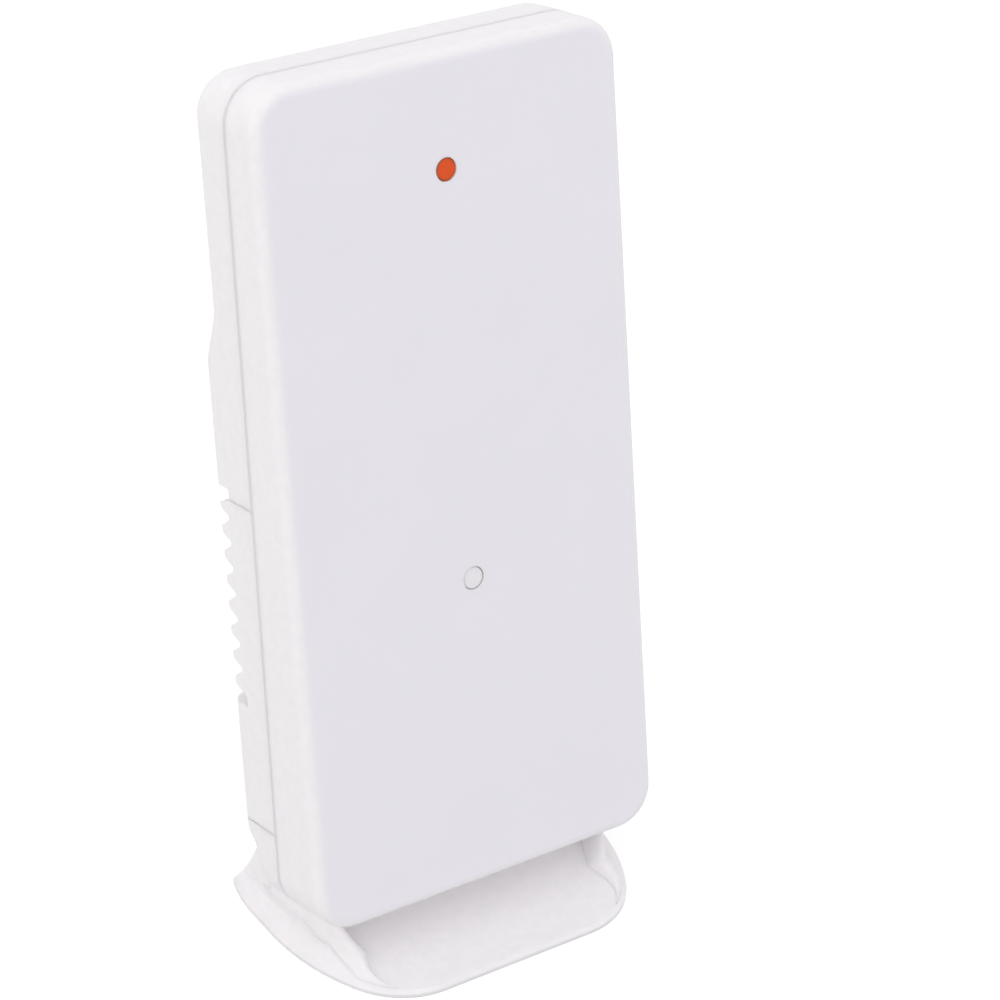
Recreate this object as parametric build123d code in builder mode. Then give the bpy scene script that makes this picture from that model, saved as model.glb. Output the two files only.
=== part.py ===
from build123d import *
import os
from math import atan, cos, pi, radians, sin

os.makedirs("parts", exist_ok=True)

# Outdoor temperature transmitter: a flat radio housing that leans back in a moulded stand.
# Millimetres. The origin is the middle of the stand's underside, +Z up, the front faces -Y.

# Housing, measured square to its own front face
housing_height = 120.0
housing_width = 57.5
depth_top = 16.1
depth_bottom = 17.6
widest_depth = 10.0
corner_radius = 6.0
front_edge_radius = 1.6
back_edge_radius = 3.1
wall = 1.8
overrun = 1.0
front_draft = 0.5
back_draft = 1.5

# Slanting parting line between the two shells
parting_top = 6.8
parting_bottom = 10.6
parting_gap = 0.35
lip_inset = 0.9
lip_height = 1.2
lip_clearance = 0.15

# Raised pad on the rear
pad_rise = 3.0
pad_top = 80.5
pad_top_ramp = 7.0
pad_bottom = 9.8
pad_bottom_ramp = 3.0
ramp_radius = 4.5

# Battery door, its finger notch and grip ribs
door_top = 60.9
door_bottom = 12.4
door_gap = 0.2
door_wall = 1.2
door_pocket_depth = 4.0
door_pocket_half_width = 24.0
notch_height = 1.65
notch_depth = 4.85
notch_edge_radius = 1.2
rib_count = 8
rib_pitch = 3.74
first_rib = 59.7
rib_tip_inset = 1.1
rib_valley_inset = 5.05
rib_valley_rise = 2.4
rib_tip_radius = 0.4
rib_valley_radius = 0.45
last_rib_foot = 30.3

# Lean of the housing over the stand
lean = 15.0
front_corner_height = 9.6

# Stand, measured on the ground from the housing's front bottom corner
foot_length = 34.5
foot_front_reach = 7.8
foot_edge = 0.6
bevel_top = 3.4
outline_bend = 60.0
ground_front_half = 12.7
ground_corner_radius = 12.5
ground_side_radius = 31.0
ground_rear_half = 26.3
bevel_front_half = 10.8
bevel_front_inset = 2.8
bevel_corner_radius = 12.5
bevel_side_radius = 34.0
bevel_rear_half = 26.1
bevel_rear_inset = 0.7
rear_bend_length = 7.2
ramp_start_height = 1.0
ramp_middle = (2.0, 2.2)
ramp_end = (10.0, 5.2)
saddle_half_width = 20.0
saddle_front = 8.5
seat_relief = 0.3
seat_flat_end = 13.8
heel_front_depth = 17.95
heel_inner_height = 6.2
heel_top = (19.95, 7.1)
heel_slope_middle = (23.1, 6.15)
tongue_width = 18.0
tongue_thickness = 2.2
tongue_height = 7.5
tongue_root = 2.5
tongue_depth = 13.9
tongue_clearance = 0.2
core_width = 9.2
core_pitch = 10.8
core_columns = 4
core_rows = ((5.5, 14.5, 2.4), (16.0, 22.0, 3.6))

# Signal lamp
lamp_below_top = 16.0
lamp_diameter = 3.0
lamp_hole = 3.3
lamp_recess = 0.35
lamp_flange_diameter = 3.8
lamp_flange = 1.0
lead_spacing = 2.54
lead_diameter = 0.5
lead_tail = 1.4

# Test button over a small push switch
button_height = 46.0
button_diameter = 3.2
button_clearance = 0.1
button_recess = 0.05
button_stem = 0.2
button_stem_diameter = 2.4
button_flange_diameter = 5.6
button_flange = 0.8
button_travel = 0.3
switch_size = 6.0
switch_body = 2.1
plunger_diameter = 2.0
plunger_length = 1.0
plunger_clearance = 0.08
plunger_room = 0.6
guide_clearance = 0.3
guide_wall = 0.9
cap_edge = 0.2

# Circuit board
board_front = 5.4
board_thickness = 1.2
board_side = 4.75
board_below_top = 12.0
board_clearance = 0.8
board_tongue_width = 15.2
board_bottom = 37.0
board_corner = 1.5
board_screw_side = 9.75
board_screw_below_top = 16.0
board_screw_above_step = 3.2
post_diameter = 4.4
post_wall = 1.1

# Screws
screw_head_diameter = 4.6
screw_head = 1.7
screw_head_edge = 0.4
recess_length = 2.6
recess_width = 0.7
recess_depth = 0.9
screw_shank = 2.2
screw_clearance = 0.3
pilot_clearance = 0.05
case_screw_length = 8.0
board_screw_length = 4.0
top_screw_side = 7.25
top_screw_below_top = 7.5
bay_screw_place = (0.0, 22.0)
boss_diameter = 6.0
boss_meeting_depth = 11.5
counterbore_floor = 2.0

# Two AAA cells lying upright side by side
cell_diameter = 10.5
cell_length = 44.5
cell_nub_diameter = 3.8
cell_nub = 1.0
cell_edge = 0.5
cell_side = 13.5
cell_clearance = 0.2
tray_floor = 1.0
tray_rim_depth = 12.6
ridge_depth = 10.2
ridge_wall = 1.2
ledge_thickness = 1.2
bulkhead = 3.0
contact_thickness = 0.4
contact_width = 8.0
tab_width = 3.0
tab_clearance = 0.15
tab_overlap = 2.0
spring_wire = 0.6
spring_wide_radius = 3.6
spring_narrow_radius = 2.0
spring_turns = 2.25

# Parts on the board
chip_radius = 6.0
chip_rise = 1.3
chip_place = (-11.0, 86.0)
module_size = (17.0, 13.0)
module_thickness = 0.8
module_place = (12.0, 87.0)
can_size = (11.0, 9.0)
can_height = 1.6
can_corner = 0.6
crystal_diameter = 2.0
crystal_length = 6.0
crystal_place = (-12.0, 75.0)
capacitor_diameter = 5.0
capacitor_length = 8.0
capacitor_place = (12.0, 73.0)
bead_diameter = 2.4
bead_drop = 5.0
bead_spacing = 1.6
chip_size = (1.6, 0.8, 0.5)
chip_pitch = 3.0
chip_column = 1.5
chip_pair = 4.0
chips_each_side = 2
antenna_diameter = 1.0
antenna_bend = 4.0
antenna_points = ((19.4, 86.0), (19.4, 98.5), (-20.5, 98.5), (-20.5, 70.0))

# Keyhole for hanging the housing on a wall screw
keyhole_below_top = 27.0
keyhole_head_diameter = 7.5
keyhole_slot_width = 4.2
keyhole_slot_length = 7.0
keyhole_box_wall = 1.2
keyhole_box_depth = 3.0
keyhole_margin = 1.6

lean_sine = sin(radians(lean))
lean_cosine = cos(radians(lean))
up_the_housing = Vector(0, lean_sine, lean_cosine)
into_the_housing = Vector(0, lean_cosine, -lean_sine)
housing_y = foot_front_reach - foot_length / 2
housing_frame = Plane(
    origin=(0, housing_y, front_corner_height), x_dir=(1, 0, 0), z_dir=up_the_housing
)


def housing_point(x, depth, height):
    """Point given across, behind the front face and up the housing."""
    return housing_frame.from_local_coords((x, depth, height))


def facing_front(depth, x=0.0, height=0.0):
    """Plane parallel to the front face: local x across, local y up the housing."""
    return Plane(origin=housing_point(x, depth, height), x_dir=(1, 0, 0), z_dir=-into_the_housing)


def facing_back(depth, x=0.0, height=0.0):
    """The same plane seen from behind, so that it extrudes backwards."""
    return Plane(origin=housing_point(x, depth, height), x_dir=(-1, 0, 0), z_dir=into_the_housing)


def facing_side(x=0.0):
    """Plane across the housing: local x is depth, local y is height."""
    return Plane(origin=housing_point(x, 0, 0), x_dir=into_the_housing, z_dir=(1, 0, 0))


def facing_up(height, x=0.0, depth=0.0):
    """Plane square to the housing's height: local x across, local y is depth."""
    return Plane(origin=housing_point(x, depth, height), x_dir=(1, 0, 0), z_dir=up_the_housing)


def back_depth(height):
    """Depth of the plain back face at a height."""
    return depth_bottom + (depth_top - depth_bottom) * height / housing_height


def pad_depth(height):
    """Depth of the raised pad at a height."""
    return back_depth(height) + pad_rise


parting_slope = atan((parting_bottom - parting_top) / housing_height)
parting_plane = Plane(
    origin=housing_point(0, parting_bottom, 0),
    x_dir=(1, 0, 0),
    z_dir=into_the_housing * cos(parting_slope) + up_the_housing * sin(parting_slope),
)
case_sweep = 2 * housing_width
bay_low = door_bottom - door_gap
bay_high = door_top + door_gap
notch_floor = pad_depth(door_top) - notch_depth
door_inner_depth = notch_floor - door_wall
cell_depth = door_inner_depth - cell_clearance - cell_diameter / 2
board_back = board_front + board_thickness
board_top = housing_height - board_below_top
board_step = bay_high + bulkhead + board_clearance
board_width = housing_width - 2 * board_side
board_screw_x = housing_width / 2 - board_screw_side
board_screw_top = housing_height - board_screw_below_top
board_screw_places = (
    (-board_screw_x, board_screw_top),
    (board_screw_x, board_screw_top),
    (0, board_step + board_screw_above_step),
)
top_screw_x = housing_width / 2 - top_screw_side
top_screw_height = housing_height - top_screw_below_top
top_screw_places = ((-top_screw_x, top_screw_height), (top_screw_x, top_screw_height))
lamp_height = housing_height - lamp_below_top
keyhole_height = housing_height - keyhole_below_top


def case_block(inset):
    """Case form with drafted sides and the raised pad on its back, inset all round."""
    reach = depth_bottom + pad_rise + overrun
    above = housing_height + overrun
    with BuildPart() as block:
        for plane, length, draft in (
            (facing_front(widest_depth), widest_depth - inset, front_draft),
            (facing_back(widest_depth), reach - widest_depth, back_draft),
        ):
            with BuildSketch(plane):
                with Locations((0, housing_height / 2)):
                    RectangleRounded(
                        housing_width - 2 * inset, housing_height - 2 * inset, corner_radius - inset
                    )
            extrude(amount=length, taper=draft)
        with BuildSketch(facing_side()):
            with BuildLine():
                Polyline(
                    (back_depth(above) - inset, above),
                    (back_depth(pad_top + pad_top_ramp) - inset, pad_top + pad_top_ramp),
                    (pad_depth(pad_top) - inset, pad_top),
                    (pad_depth(pad_bottom) - inset, pad_bottom),
                    (back_depth(pad_bottom - pad_bottom_ramp) - inset, pad_bottom - pad_bottom_ramp),
                    (back_depth(-overrun) - inset, -overrun),
                    (reach + overrun, -overrun),
                    (reach + overrun, above),
                    close=True,
                )
            make_face()
        extrude(amount=case_sweep, both=True, mode=Mode.SUBTRACT)
    return block.part


def is_pad_bend(edge):
    """True for the cross edges where the rear face bends into or out of a ramp."""
    local = housing_frame.to_local_coords(edge.center())
    return local.Y > depth_top - overrun and pad_bottom / 3 < local.Z < pad_top + 2 * pad_top_ramp


def rear_rim(part):
    """Outer rim of all faces that look backwards."""
    rear_faces = part.faces().filter_by(lambda face: face.normal_at().dot(into_the_housing) > 0.5)
    rear_edges = [edge for face in rear_faces for edge in face.edges()]
    return ShapeList(
        edge for edge in rear_edges if sum(edge.is_same(other) for other in rear_edges) == 1
    )


# Grip profile: saw-like ribs, steep below and sloping above, with rounded tips and valleys
grip_points = [(notch_floor, door_top), (pad_depth(first_rib) - rib_tip_inset, first_rib)]
for rib in range(1, rib_count):
    rib_height = first_rib - rib * rib_pitch
    rib_valley = rib_height + rib_valley_rise
    grip_points.append((pad_depth(rib_valley) - rib_valley_inset, rib_valley))
    grip_points.append((pad_depth(rib_height) - rib_tip_inset, rib_height))
rib_tips = [x for x, height in grip_points[1::2]]
rib_valleys = [x for x, height in grip_points[2::2]]
last_step = last_rib_foot + notch_height
grip_points.append((pad_depth(last_step) - rib_valley_inset, last_step))
grip_points.append((notch_floor, last_rib_foot))
grip_outside = depth_bottom + pad_rise + overrun


def rib_corners(profile, depths):
    """Sharp corners of the grip profile at the given depths."""
    return profile.vertices().filter_by(
        lambda corner: min(abs(corner.X - depth) for depth in depths) < 0.001
    )


with BuildPart() as case_form:
    add(case_block(0))
    fillet(case_form.edges().filter_by(Axis.X).filter_by(is_pad_bend), radius=ramp_radius)
    fillet(rear_rim(case_form), radius=back_edge_radius)
    front_face = case_form.faces().sort_by(Axis((0, 0, 0), into_the_housing))[0]
    fillet(front_face.edges(), radius=front_edge_radius)
    notch_top = door_top + notch_height
    notch_end = notch_top + 2 * notch_edge_radius
    with BuildSketch(facing_side()) as notch:
        with BuildLine():
            Polyline(
                (notch_floor, door_top),
                (notch_floor, notch_top),
                (pad_depth(notch_top), notch_top),
                (pad_depth(notch_end), notch_end),
                (grip_outside, notch_end),
                (grip_outside, door_top),
                close=True,
            )
        make_face()
        notch_edge = notch.vertices().sort_by_distance((pad_depth(notch_top), notch_top))[0]
        fillet(notch_edge, radius=notch_edge_radius)
    extrude(amount=case_sweep, both=True, mode=Mode.SUBTRACT)
    with BuildSketch(facing_side()) as grip:
        with BuildLine():
            Polyline(*grip_points, (grip_outside, last_rib_foot), (grip_outside, door_top), close=True)
        make_face()
        fillet(rib_corners(grip, rib_tips), radius=rib_tip_radius)
        fillet(rib_corners(grip, rib_valleys), radius=rib_valley_radius)
    extrude(amount=case_sweep, both=True, mode=Mode.SUBTRACT)

room = case_block(wall)


def lip_band(outer_inset, inner_inset, low, high):
    """Ring along the parting line, from low to high behind it."""
    with BuildPart() as band:
        with BuildSketch(facing_back(0)):
            with Locations((0, housing_height / 2)):
                RectangleRounded(
                    housing_width - 2 * outer_inset,
                    housing_height - 2 * outer_inset,
                    corner_radius - outer_inset,
                )
                RectangleRounded(
                    housing_width - 2 * inner_inset,
                    housing_height - 2 * inner_inset,
                    corner_radius - inner_inset,
                    mode=Mode.SUBTRACT,
                )
        extrude(amount=depth_bottom)
        split(bisect_by=parting_plane.offset(high), keep=Keep.BOTTOM)
        split(bisect_by=parting_plane.offset(low), keep=Keep.TOP)
    return band.part


lip_rebate = lip_band(lip_inset - lip_clearance, 2 * wall, -lip_height, lip_height + lip_clearance)

# Front shell: one smooth moulding with bosses for the screws and posts for the board
button_hole = button_diameter + 2 * button_clearance
guide_bore = button_flange_diameter + 2 * guide_clearance
guide_length = button_flange + button_travel
pilot = screw_shank + 2 * pilot_clearance
top_screw_seat = boss_meeting_depth + counterbore_floor
with BuildPart() as front_shell:
    add(case_form.part)
    split(bisect_by=parting_plane, keep=Keep.BOTTOM)
    add(room, mode=Mode.SUBTRACT)
    add(lip_band(lip_inset, wall, -lip_height, lip_height))
    for places, end in (
        (top_screw_places, boss_meeting_depth),
        ((bay_screw_place,), ridge_depth - ridge_wall),
    ):
        for x, height in places:
            with BuildSketch(facing_back(wall / 2, x, height)):
                Circle(boss_diameter / 2)
            extrude(amount=end - wall / 2)
    for x, height in board_screw_places:
        with BuildSketch(facing_back(wall / 2, x, height)):
            Circle(post_diameter / 2)
        extrude(amount=board_front - wall / 2)
    with BuildSketch(facing_back(wall / 2, 0, button_height)):
        Circle(guide_bore / 2 + guide_wall)
    extrude(amount=wall / 2 + guide_length)
    with BuildSketch(facing_back(wall, 0, button_height)):
        Circle(guide_bore / 2)
    extrude(amount=guide_length + overrun, mode=Mode.SUBTRACT)
    for hole, height in ((button_hole, button_height), (lamp_hole, lamp_height)):
        with BuildSketch(facing_back(0, 0, height)):
            Circle(hole / 2)
        extrude(amount=2 * wall, mode=Mode.SUBTRACT)
    for places, seat, length in (
        (top_screw_places, top_screw_seat, case_screw_length),
        ((bay_screw_place,), ridge_depth, case_screw_length),
        (board_screw_places, board_back, board_screw_length),
    ):
        for x, height in places:
            with BuildSketch(facing_back(seat - length - screw_clearance / 2, x, height)):
                Circle(pilot / 2)
            extrude(amount=length + overrun, mode=Mode.SUBTRACT)
front_shell.part.label = "front_shell"
export_step(front_shell.part, "parts/front_shell.step")


def room_between(low, high):
    """Part of the inner room between two heights."""
    with BuildPart() as space:
        add(room)
        split(bisect_by=facing_up(high), keep=Keep.BOTTOM)
        split(bisect_by=facing_up(low), keep=Keep.TOP)
    return space.part


# Back shell: the most worked piece, with the cell tray, the keyhole box, screw posts and the
# slot for the stand's tongue moulded into a thin drafted wall
cell_x = housing_width / 2 - cell_side
cell_spacing = 2 * cell_x
trough_radius = cell_diameter / 2 + cell_clearance
flange_half_width = housing_width / 2 - wall - 2 * parting_gap
bay_floor = bay_low + contact_thickness
bay_roof = bay_high + contact_thickness
lower_room_top = bay_low - bulkhead / 2
upper_room_bottom = bay_high + bulkhead
counterbore = screw_head_diameter + 2 * screw_clearance
screw_hole = screw_shank + 2 * screw_clearance
keyhole_top = keyhole_height + keyhole_slot_length
keyhole_box_half = keyhole_head_diameter / 2 + keyhole_margin
keyhole_box_low = keyhole_height - keyhole_box_half
keyhole_box_high = keyhole_top + keyhole_slot_width / 2 + keyhole_margin
keyhole_floor = back_depth(keyhole_height) - wall - keyhole_box_depth
with BuildPart() as back_shell:
    add(case_form.part)
    split(bisect_by=parting_plane.offset(parting_gap), keep=Keep.TOP)
    add(room_between(upper_room_bottom, housing_height), mode=Mode.SUBTRACT)
    add(room_between(0, lower_room_top), mode=Mode.SUBTRACT)
    with BuildSketch(facing_up(bay_low)):
        with Locations((0, housing_width / 2)):
            Rectangle(2 * housing_width, housing_width)
    extrude(amount=bay_high - bay_low, mode=Mode.SUBTRACT)
    add(lip_rebate, mode=Mode.SUBTRACT)
    # Tray: two troughs joined by a ridge, with flanges reaching out to the shell's sides
    with BuildSketch(facing_up(lower_room_top)):
        with Locations((0, ridge_depth - ridge_wall / 2)):
            Rectangle(cell_spacing, ridge_wall)
        with Locations((0, tray_rim_depth - ledge_thickness / 2)):
            Rectangle(2 * flange_half_width, ledge_thickness)
        with Locations((0, tray_rim_depth)):
            Rectangle(
                cell_spacing,
                2 * (tray_rim_depth - ridge_depth),
                mode=Mode.SUBTRACT,
            )
        with Locations((-cell_x, cell_depth), (cell_x, cell_depth)):
            Circle(trough_radius + tray_floor)
        with Locations((-cell_x, tray_rim_depth), (cell_x, tray_rim_depth)):
            Rectangle(
                2 * (trough_radius + tray_floor),
                2 * (tray_rim_depth - cell_depth),
                align=(Align.CENTER, Align.CENTER),
            )
        with Locations((0, tray_rim_depth + housing_width / 2)):
            Rectangle(2 * housing_width, housing_width, mode=Mode.SUBTRACT)
    extrude(amount=upper_room_bottom - lower_room_top)
    with BuildSketch(facing_up(bay_floor)):
        with Locations((-cell_x, cell_depth), (cell_x, cell_depth)):
            Circle(trough_radius)
        with Locations(
            (-cell_x, (cell_depth + door_inner_depth) / 2), (cell_x, (cell_depth + door_inner_depth) / 2)
        ):
            Rectangle(2 * trough_radius, door_inner_depth - cell_depth)
    extrude(amount=bay_roof - bay_floor, mode=Mode.SUBTRACT)
    # Slots that hold the bridge contact at the foot and the terminal plates at the head
    with BuildSketch(facing_up(bay_floor, 0, cell_depth)):
        Rectangle(cell_spacing + contact_width + 2 * tab_clearance, contact_width + 2 * tab_clearance)
    extrude(amount=contact_thickness + parting_gap, mode=Mode.SUBTRACT)
    with BuildSketch(facing_up(bay_roof - contact_thickness - parting_gap, 0, cell_depth)):
        with GridLocations(cell_spacing, 0, 2, 1):
            Rectangle(contact_width + 2 * tab_clearance, contact_width + 2 * tab_clearance)
    extrude(amount=contact_thickness + parting_gap, mode=Mode.SUBTRACT)
    # Slots for the two terminal tabs
    for x in (-cell_x, cell_x):
        with BuildSketch(facing_up(bay_roof - contact_thickness, x, board_back + contact_thickness / 2)):
            Rectangle(tab_width + 2 * tab_clearance, contact_thickness + 2 * tab_clearance)
        extrude(amount=2 * bulkhead, mode=Mode.SUBTRACT)
    # Posts that clamp the front shell's bosses
    for x, height in top_screw_places:
        with BuildSketch(facing_back(boss_meeting_depth, x, height)):
            Circle(counterbore / 2 + post_wall)
        extrude(amount=back_depth(height) - wall / 2 - boss_meeting_depth)
        with BuildSketch(facing_back(top_screw_seat, x, height)):
            Circle(counterbore / 2)
        extrude(amount=depth_bottom, mode=Mode.SUBTRACT)
        with BuildSketch(facing_back(boss_meeting_depth, x, height)):
            Circle(screw_hole / 2)
        extrude(amount=depth_bottom, mode=Mode.SUBTRACT)
    with BuildSketch(facing_back(ridge_depth - ridge_wall, *bay_screw_place)):
        Circle(screw_hole / 2)
    extrude(amount=ridge_wall, mode=Mode.SUBTRACT)
    # Keyhole and the closed box in front of it
    with BuildSketch(facing_back(keyhole_floor - keyhole_box_wall)):
        with Locations((0, (keyhole_box_low + keyhole_box_high) / 2)):
            Rectangle(
                2 * (keyhole_box_half + keyhole_box_wall),
                keyhole_box_high - keyhole_box_low + 2 * keyhole_box_wall,
            )
    extrude(amount=keyhole_box_wall + keyhole_box_depth + wall / 2)
    with BuildSketch(facing_back(keyhole_floor)):
        with Locations((0, (keyhole_box_low + keyhole_box_high) / 2)):
            Rectangle(2 * keyhole_box_half, keyhole_box_high - keyhole_box_low)
    extrude(amount=keyhole_box_depth, mode=Mode.SUBTRACT)
    with BuildSketch(facing_back(keyhole_floor)):
        with Locations((0, keyhole_height)):
            Circle(keyhole_head_diameter / 2)
        with Locations((0, keyhole_height + keyhole_slot_length / 2)):
            SlotCenterToCenter(keyhole_slot_length, keyhole_slot_width, rotation=90)
    extrude(amount=depth_bottom, mode=Mode.SUBTRACT)
    # Slot in the bottom wall for the stand's tongue
    with BuildSketch(facing_up(0, 0, tongue_depth)):
        Rectangle(tongue_width + 2 * tongue_clearance, tongue_thickness + 2 * tongue_clearance)
    extrude(amount=2 * wall, mode=Mode.SUBTRACT)
back_shell.part.label = "back_shell"
export_step(back_shell.part, "parts/back_shell.step")

# Battery door: a cap that takes the whole rear between the two bulkheads, grip ribs outside
with BuildPart() as battery_door:
    add(case_form.part)
    split(bisect_by=parting_plane.offset(parting_gap), keep=Keep.TOP)
    split(bisect_by=facing_up(door_top), keep=Keep.BOTTOM)
    split(bisect_by=facing_up(door_bottom), keep=Keep.TOP)
    with BuildSketch(facing_up(door_bottom)):
        with Locations((0, door_inner_depth / 2)):
            Rectangle(housing_width - 2 * wall, door_inner_depth)
    extrude(amount=door_top - door_bottom, mode=Mode.SUBTRACT)
    with BuildSketch(facing_up(door_bottom + door_wall)):
        with Locations((0, pad_depth(door_bottom) - door_wall - door_pocket_depth / 2)):
            Rectangle(2 * door_pocket_half_width, door_pocket_depth)
    extrude(amount=last_rib_foot - door_bottom - 2 * door_wall, mode=Mode.SUBTRACT)
    add(lip_rebate, mode=Mode.SUBTRACT)
battery_door.part.label = "battery_door"
export_step(battery_door.part, "parts/battery_door.step")


def disc(depth, x, height, diameter, length):
    """Short round bar that starts at a depth and runs backwards."""
    with BuildPart() as bar:
        with BuildSketch(facing_back(depth, x, height)):
            Circle(diameter / 2)
        extrude(amount=length)
    return bar.part


# Circuit board, wide above the cells and narrow between them
with BuildPart() as circuit_board:
    with BuildSketch(facing_back(board_front)) as board_shape:
        with Locations((0, (board_top + board_step) / 2)):
            Rectangle(board_width, board_top - board_step)
        with Locations((0, (board_step + board_bottom) / 2)):
            Rectangle(board_tongue_width, board_step - board_bottom + 2 * board_corner)
        fillet(board_shape.vertices(), radius=board_corner)
        with Locations(*board_screw_places):
            Circle(screw_hole / 2, mode=Mode.SUBTRACT)
        with Locations((-lead_spacing / 2, lamp_height), (lead_spacing / 2, lamp_height)):
            Circle(lead_diameter / 2 + tab_clearance, mode=Mode.SUBTRACT)
    extrude(amount=board_thickness)
circuit_board.part.label = "circuit_board"
export_step(circuit_board.part, "parts/circuit_board.step")

# Signal lamp with a domed tip and a flange that sits on the board
with BuildPart() as led:
    with BuildSketch(facing_side()):
        with BuildLine():
            Polyline(
                (lamp_recess + lamp_diameter / 2, lamp_height + lamp_diameter / 2),
                (board_front - lamp_flange, lamp_height + lamp_diameter / 2),
                (board_front - lamp_flange, lamp_height + lamp_flange_diameter / 2),
                (board_front, lamp_height + lamp_flange_diameter / 2),
                (board_front, lamp_height),
                (lamp_recess, lamp_height),
            )
            CenterArc(
                (lamp_recess + lamp_diameter / 2, lamp_height), lamp_diameter / 2, 90, 90
            )
        make_face()
    revolve(axis=Axis(housing_point(0, 0, lamp_height), into_the_housing))
led.part.label = "led"
export_step(led.part, "parts/led.step")

with BuildPart() as led_leads:
    for x in (-lead_spacing / 2, lead_spacing / 2):
        add(disc(board_front, x, lamp_height, lead_diameter, board_thickness + lead_tail))
led_leads.part.label = "led_leads"
export_step(led_leads.part, "parts/led_leads.step")

# Test button: a cap through the front wall with a flange behind it, pressing a push switch
stem_end = wall + button_flange + button_stem
switch_front = board_front - switch_body
with BuildPart() as test_button:
    add(disc(button_recess, 0, button_height, button_diameter, wall - button_recess))
    add(disc(wall, 0, button_height, button_flange_diameter, button_flange))
    add(disc(wall + button_flange, 0, button_height, button_stem_diameter, button_stem))
    cap_face = test_button.faces().sort_by(Axis((0, 0, 0), into_the_housing))[0]
    chamfer(cap_face.edges(), length=cap_edge)
test_button.part.label = "test_button"
export_step(test_button.part, "parts/test_button.step")

with BuildPart() as switch_plunger:
    add(disc(stem_end, 0, button_height, plunger_diameter, plunger_length))
switch_plunger.part.label = "switch_plunger"
export_step(switch_plunger.part, "parts/switch_plunger.step")

with BuildPart() as tact_switch:
    with BuildSketch(facing_back(switch_front)):
        with Locations((0, button_height)):
            Rectangle(switch_size, switch_size)
    extrude(amount=switch_body)
    with BuildSketch(facing_back(switch_front)):
        with Locations((0, button_height)):
            Circle(plunger_diameter / 2 + plunger_clearance)
    extrude(amount=stem_end + plunger_length + plunger_room - switch_front, mode=Mode.SUBTRACT)
tact_switch.part.label = "tact_switch"
export_step(tact_switch.part, "parts/tact_switch.step")


# Parts soldered to the back of the board
def chip_group(places):
    """Small rectangular chips on the back of the board."""
    with BuildPart() as chips:
        with BuildSketch(facing_back(board_back)):
            with Locations(*[(-x, height) for x, height in places]):
                Rectangle(chip_size[0], chip_size[1])
        extrude(amount=chip_size[2])
    return chips.part


chip_rows = [
    module_place[1] + chip_pitch * step for step in range(-chips_each_side, chips_each_side + 1)
]
chip_resistors = chip_group(
    [(-chip_column, height) for height in chip_rows]
    + [(-chip_pair, board_step - chip_pitch), (chip_pair, board_step - chip_pitch)]
)
chip_resistors.label = "chip_resistors"
export_step(chip_resistors, "parts/chip_resistors.step")
ceramic_capacitors = chip_group(
    [(chip_column, height) for height in chip_rows]
    + [(0, button_height + 2 * chip_pitch), (0, button_height - chip_pitch)]
)
ceramic_capacitors.label = "ceramic_capacitors"
export_step(ceramic_capacitors, "parts/ceramic_capacitors.step")

glob_radius = (chip_radius ** 2 + chip_rise ** 2) / (2 * chip_rise)
with BuildPart() as chip_glob_top:
    with Locations(housing_point(chip_place[0], board_back + chip_rise - glob_radius, chip_place[1])):
        Sphere(glob_radius)
    split(bisect_by=facing_back(board_back), keep=Keep.TOP)
chip_glob_top.part.label = "chip_glob_top"
export_step(chip_glob_top.part, "parts/chip_glob_top.step")

with BuildPart() as radio_module:
    with BuildSketch(facing_back(board_back)):
        with Locations((-module_place[0], module_place[1])):
            Rectangle(*module_size)
    extrude(amount=module_thickness)
radio_module.part.label = "radio_module"
export_step(radio_module.part, "parts/radio_module.step")

with BuildPart() as radio_can:
    with BuildSketch(facing_back(board_back + module_thickness)):
        with Locations((-module_place[0], module_place[1])):
            RectangleRounded(*can_size, can_corner)
    extrude(amount=can_height)
radio_can.part.label = "radio_can"
export_step(radio_can.part, "parts/radio_can.step")

with BuildPart() as crystal:
    crystal_axis_depth = board_back + crystal_diameter / 2
    start_x = crystal_place[0] - crystal_length / 2
    with BuildSketch(Plane(facing_side(start_x).origin, facing_side().x_dir, facing_side().z_dir)):
        with Locations((crystal_axis_depth, crystal_place[1])):
            Circle(crystal_diameter / 2)
    extrude(amount=crystal_length)
crystal.part.label = "crystal"
export_step(crystal.part, "parts/crystal.step")

with BuildPart() as electrolytic_capacitor:
    can_low = capacitor_place[1] - capacitor_length / 2
    with BuildSketch(facing_up(can_low, capacitor_place[0], board_back + capacitor_diameter / 2)):
        Circle(capacitor_diameter / 2)
    extrude(amount=capacitor_length)
electrolytic_capacitor.part.label = "electrolytic_capacitor"
export_step(electrolytic_capacitor.part, "parts/electrolytic_capacitor.step")

# Antenna: a bent wire that starts on the radio module and runs round the top of the board
with BuildPart() as antenna_wire:
    antenna_plane_depth = board_back + module_thickness + antenna_diameter / 2
    with BuildLine(facing_front(antenna_plane_depth)) as antenna_path:
        FilletPolyline(*antenna_points, radius=antenna_bend)
    antenna_start = facing_up(antenna_points[0][1], antenna_points[0][0], antenna_plane_depth)
    with BuildSketch(antenna_start):
        Circle(antenna_diameter / 2)
    sweep(path=antenna_path.wires()[0])
antenna_wire.part.label = "antenna_wire"
export_step(antenna_wire.part, "parts/antenna_wire.step")

# Thermistor bead hanging below the board on two leads
bead_height = board_bottom - bead_drop
bead_depth = board_front - lead_diameter / 2
with BuildPart() as thermistor:
    with Locations(housing_point(0, bead_depth, bead_height)):
        Sphere(bead_diameter / 2)
    for x in (-bead_spacing / 2, bead_spacing / 2):
        with BuildSketch(facing_up(bead_height, x, bead_depth)):
            Circle(lead_diameter / 2)
        extrude(amount=bead_diameter, mode=Mode.SUBTRACT)
thermistor.part.label = "thermistor"
export_step(thermistor.part, "parts/thermistor.step")

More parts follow.
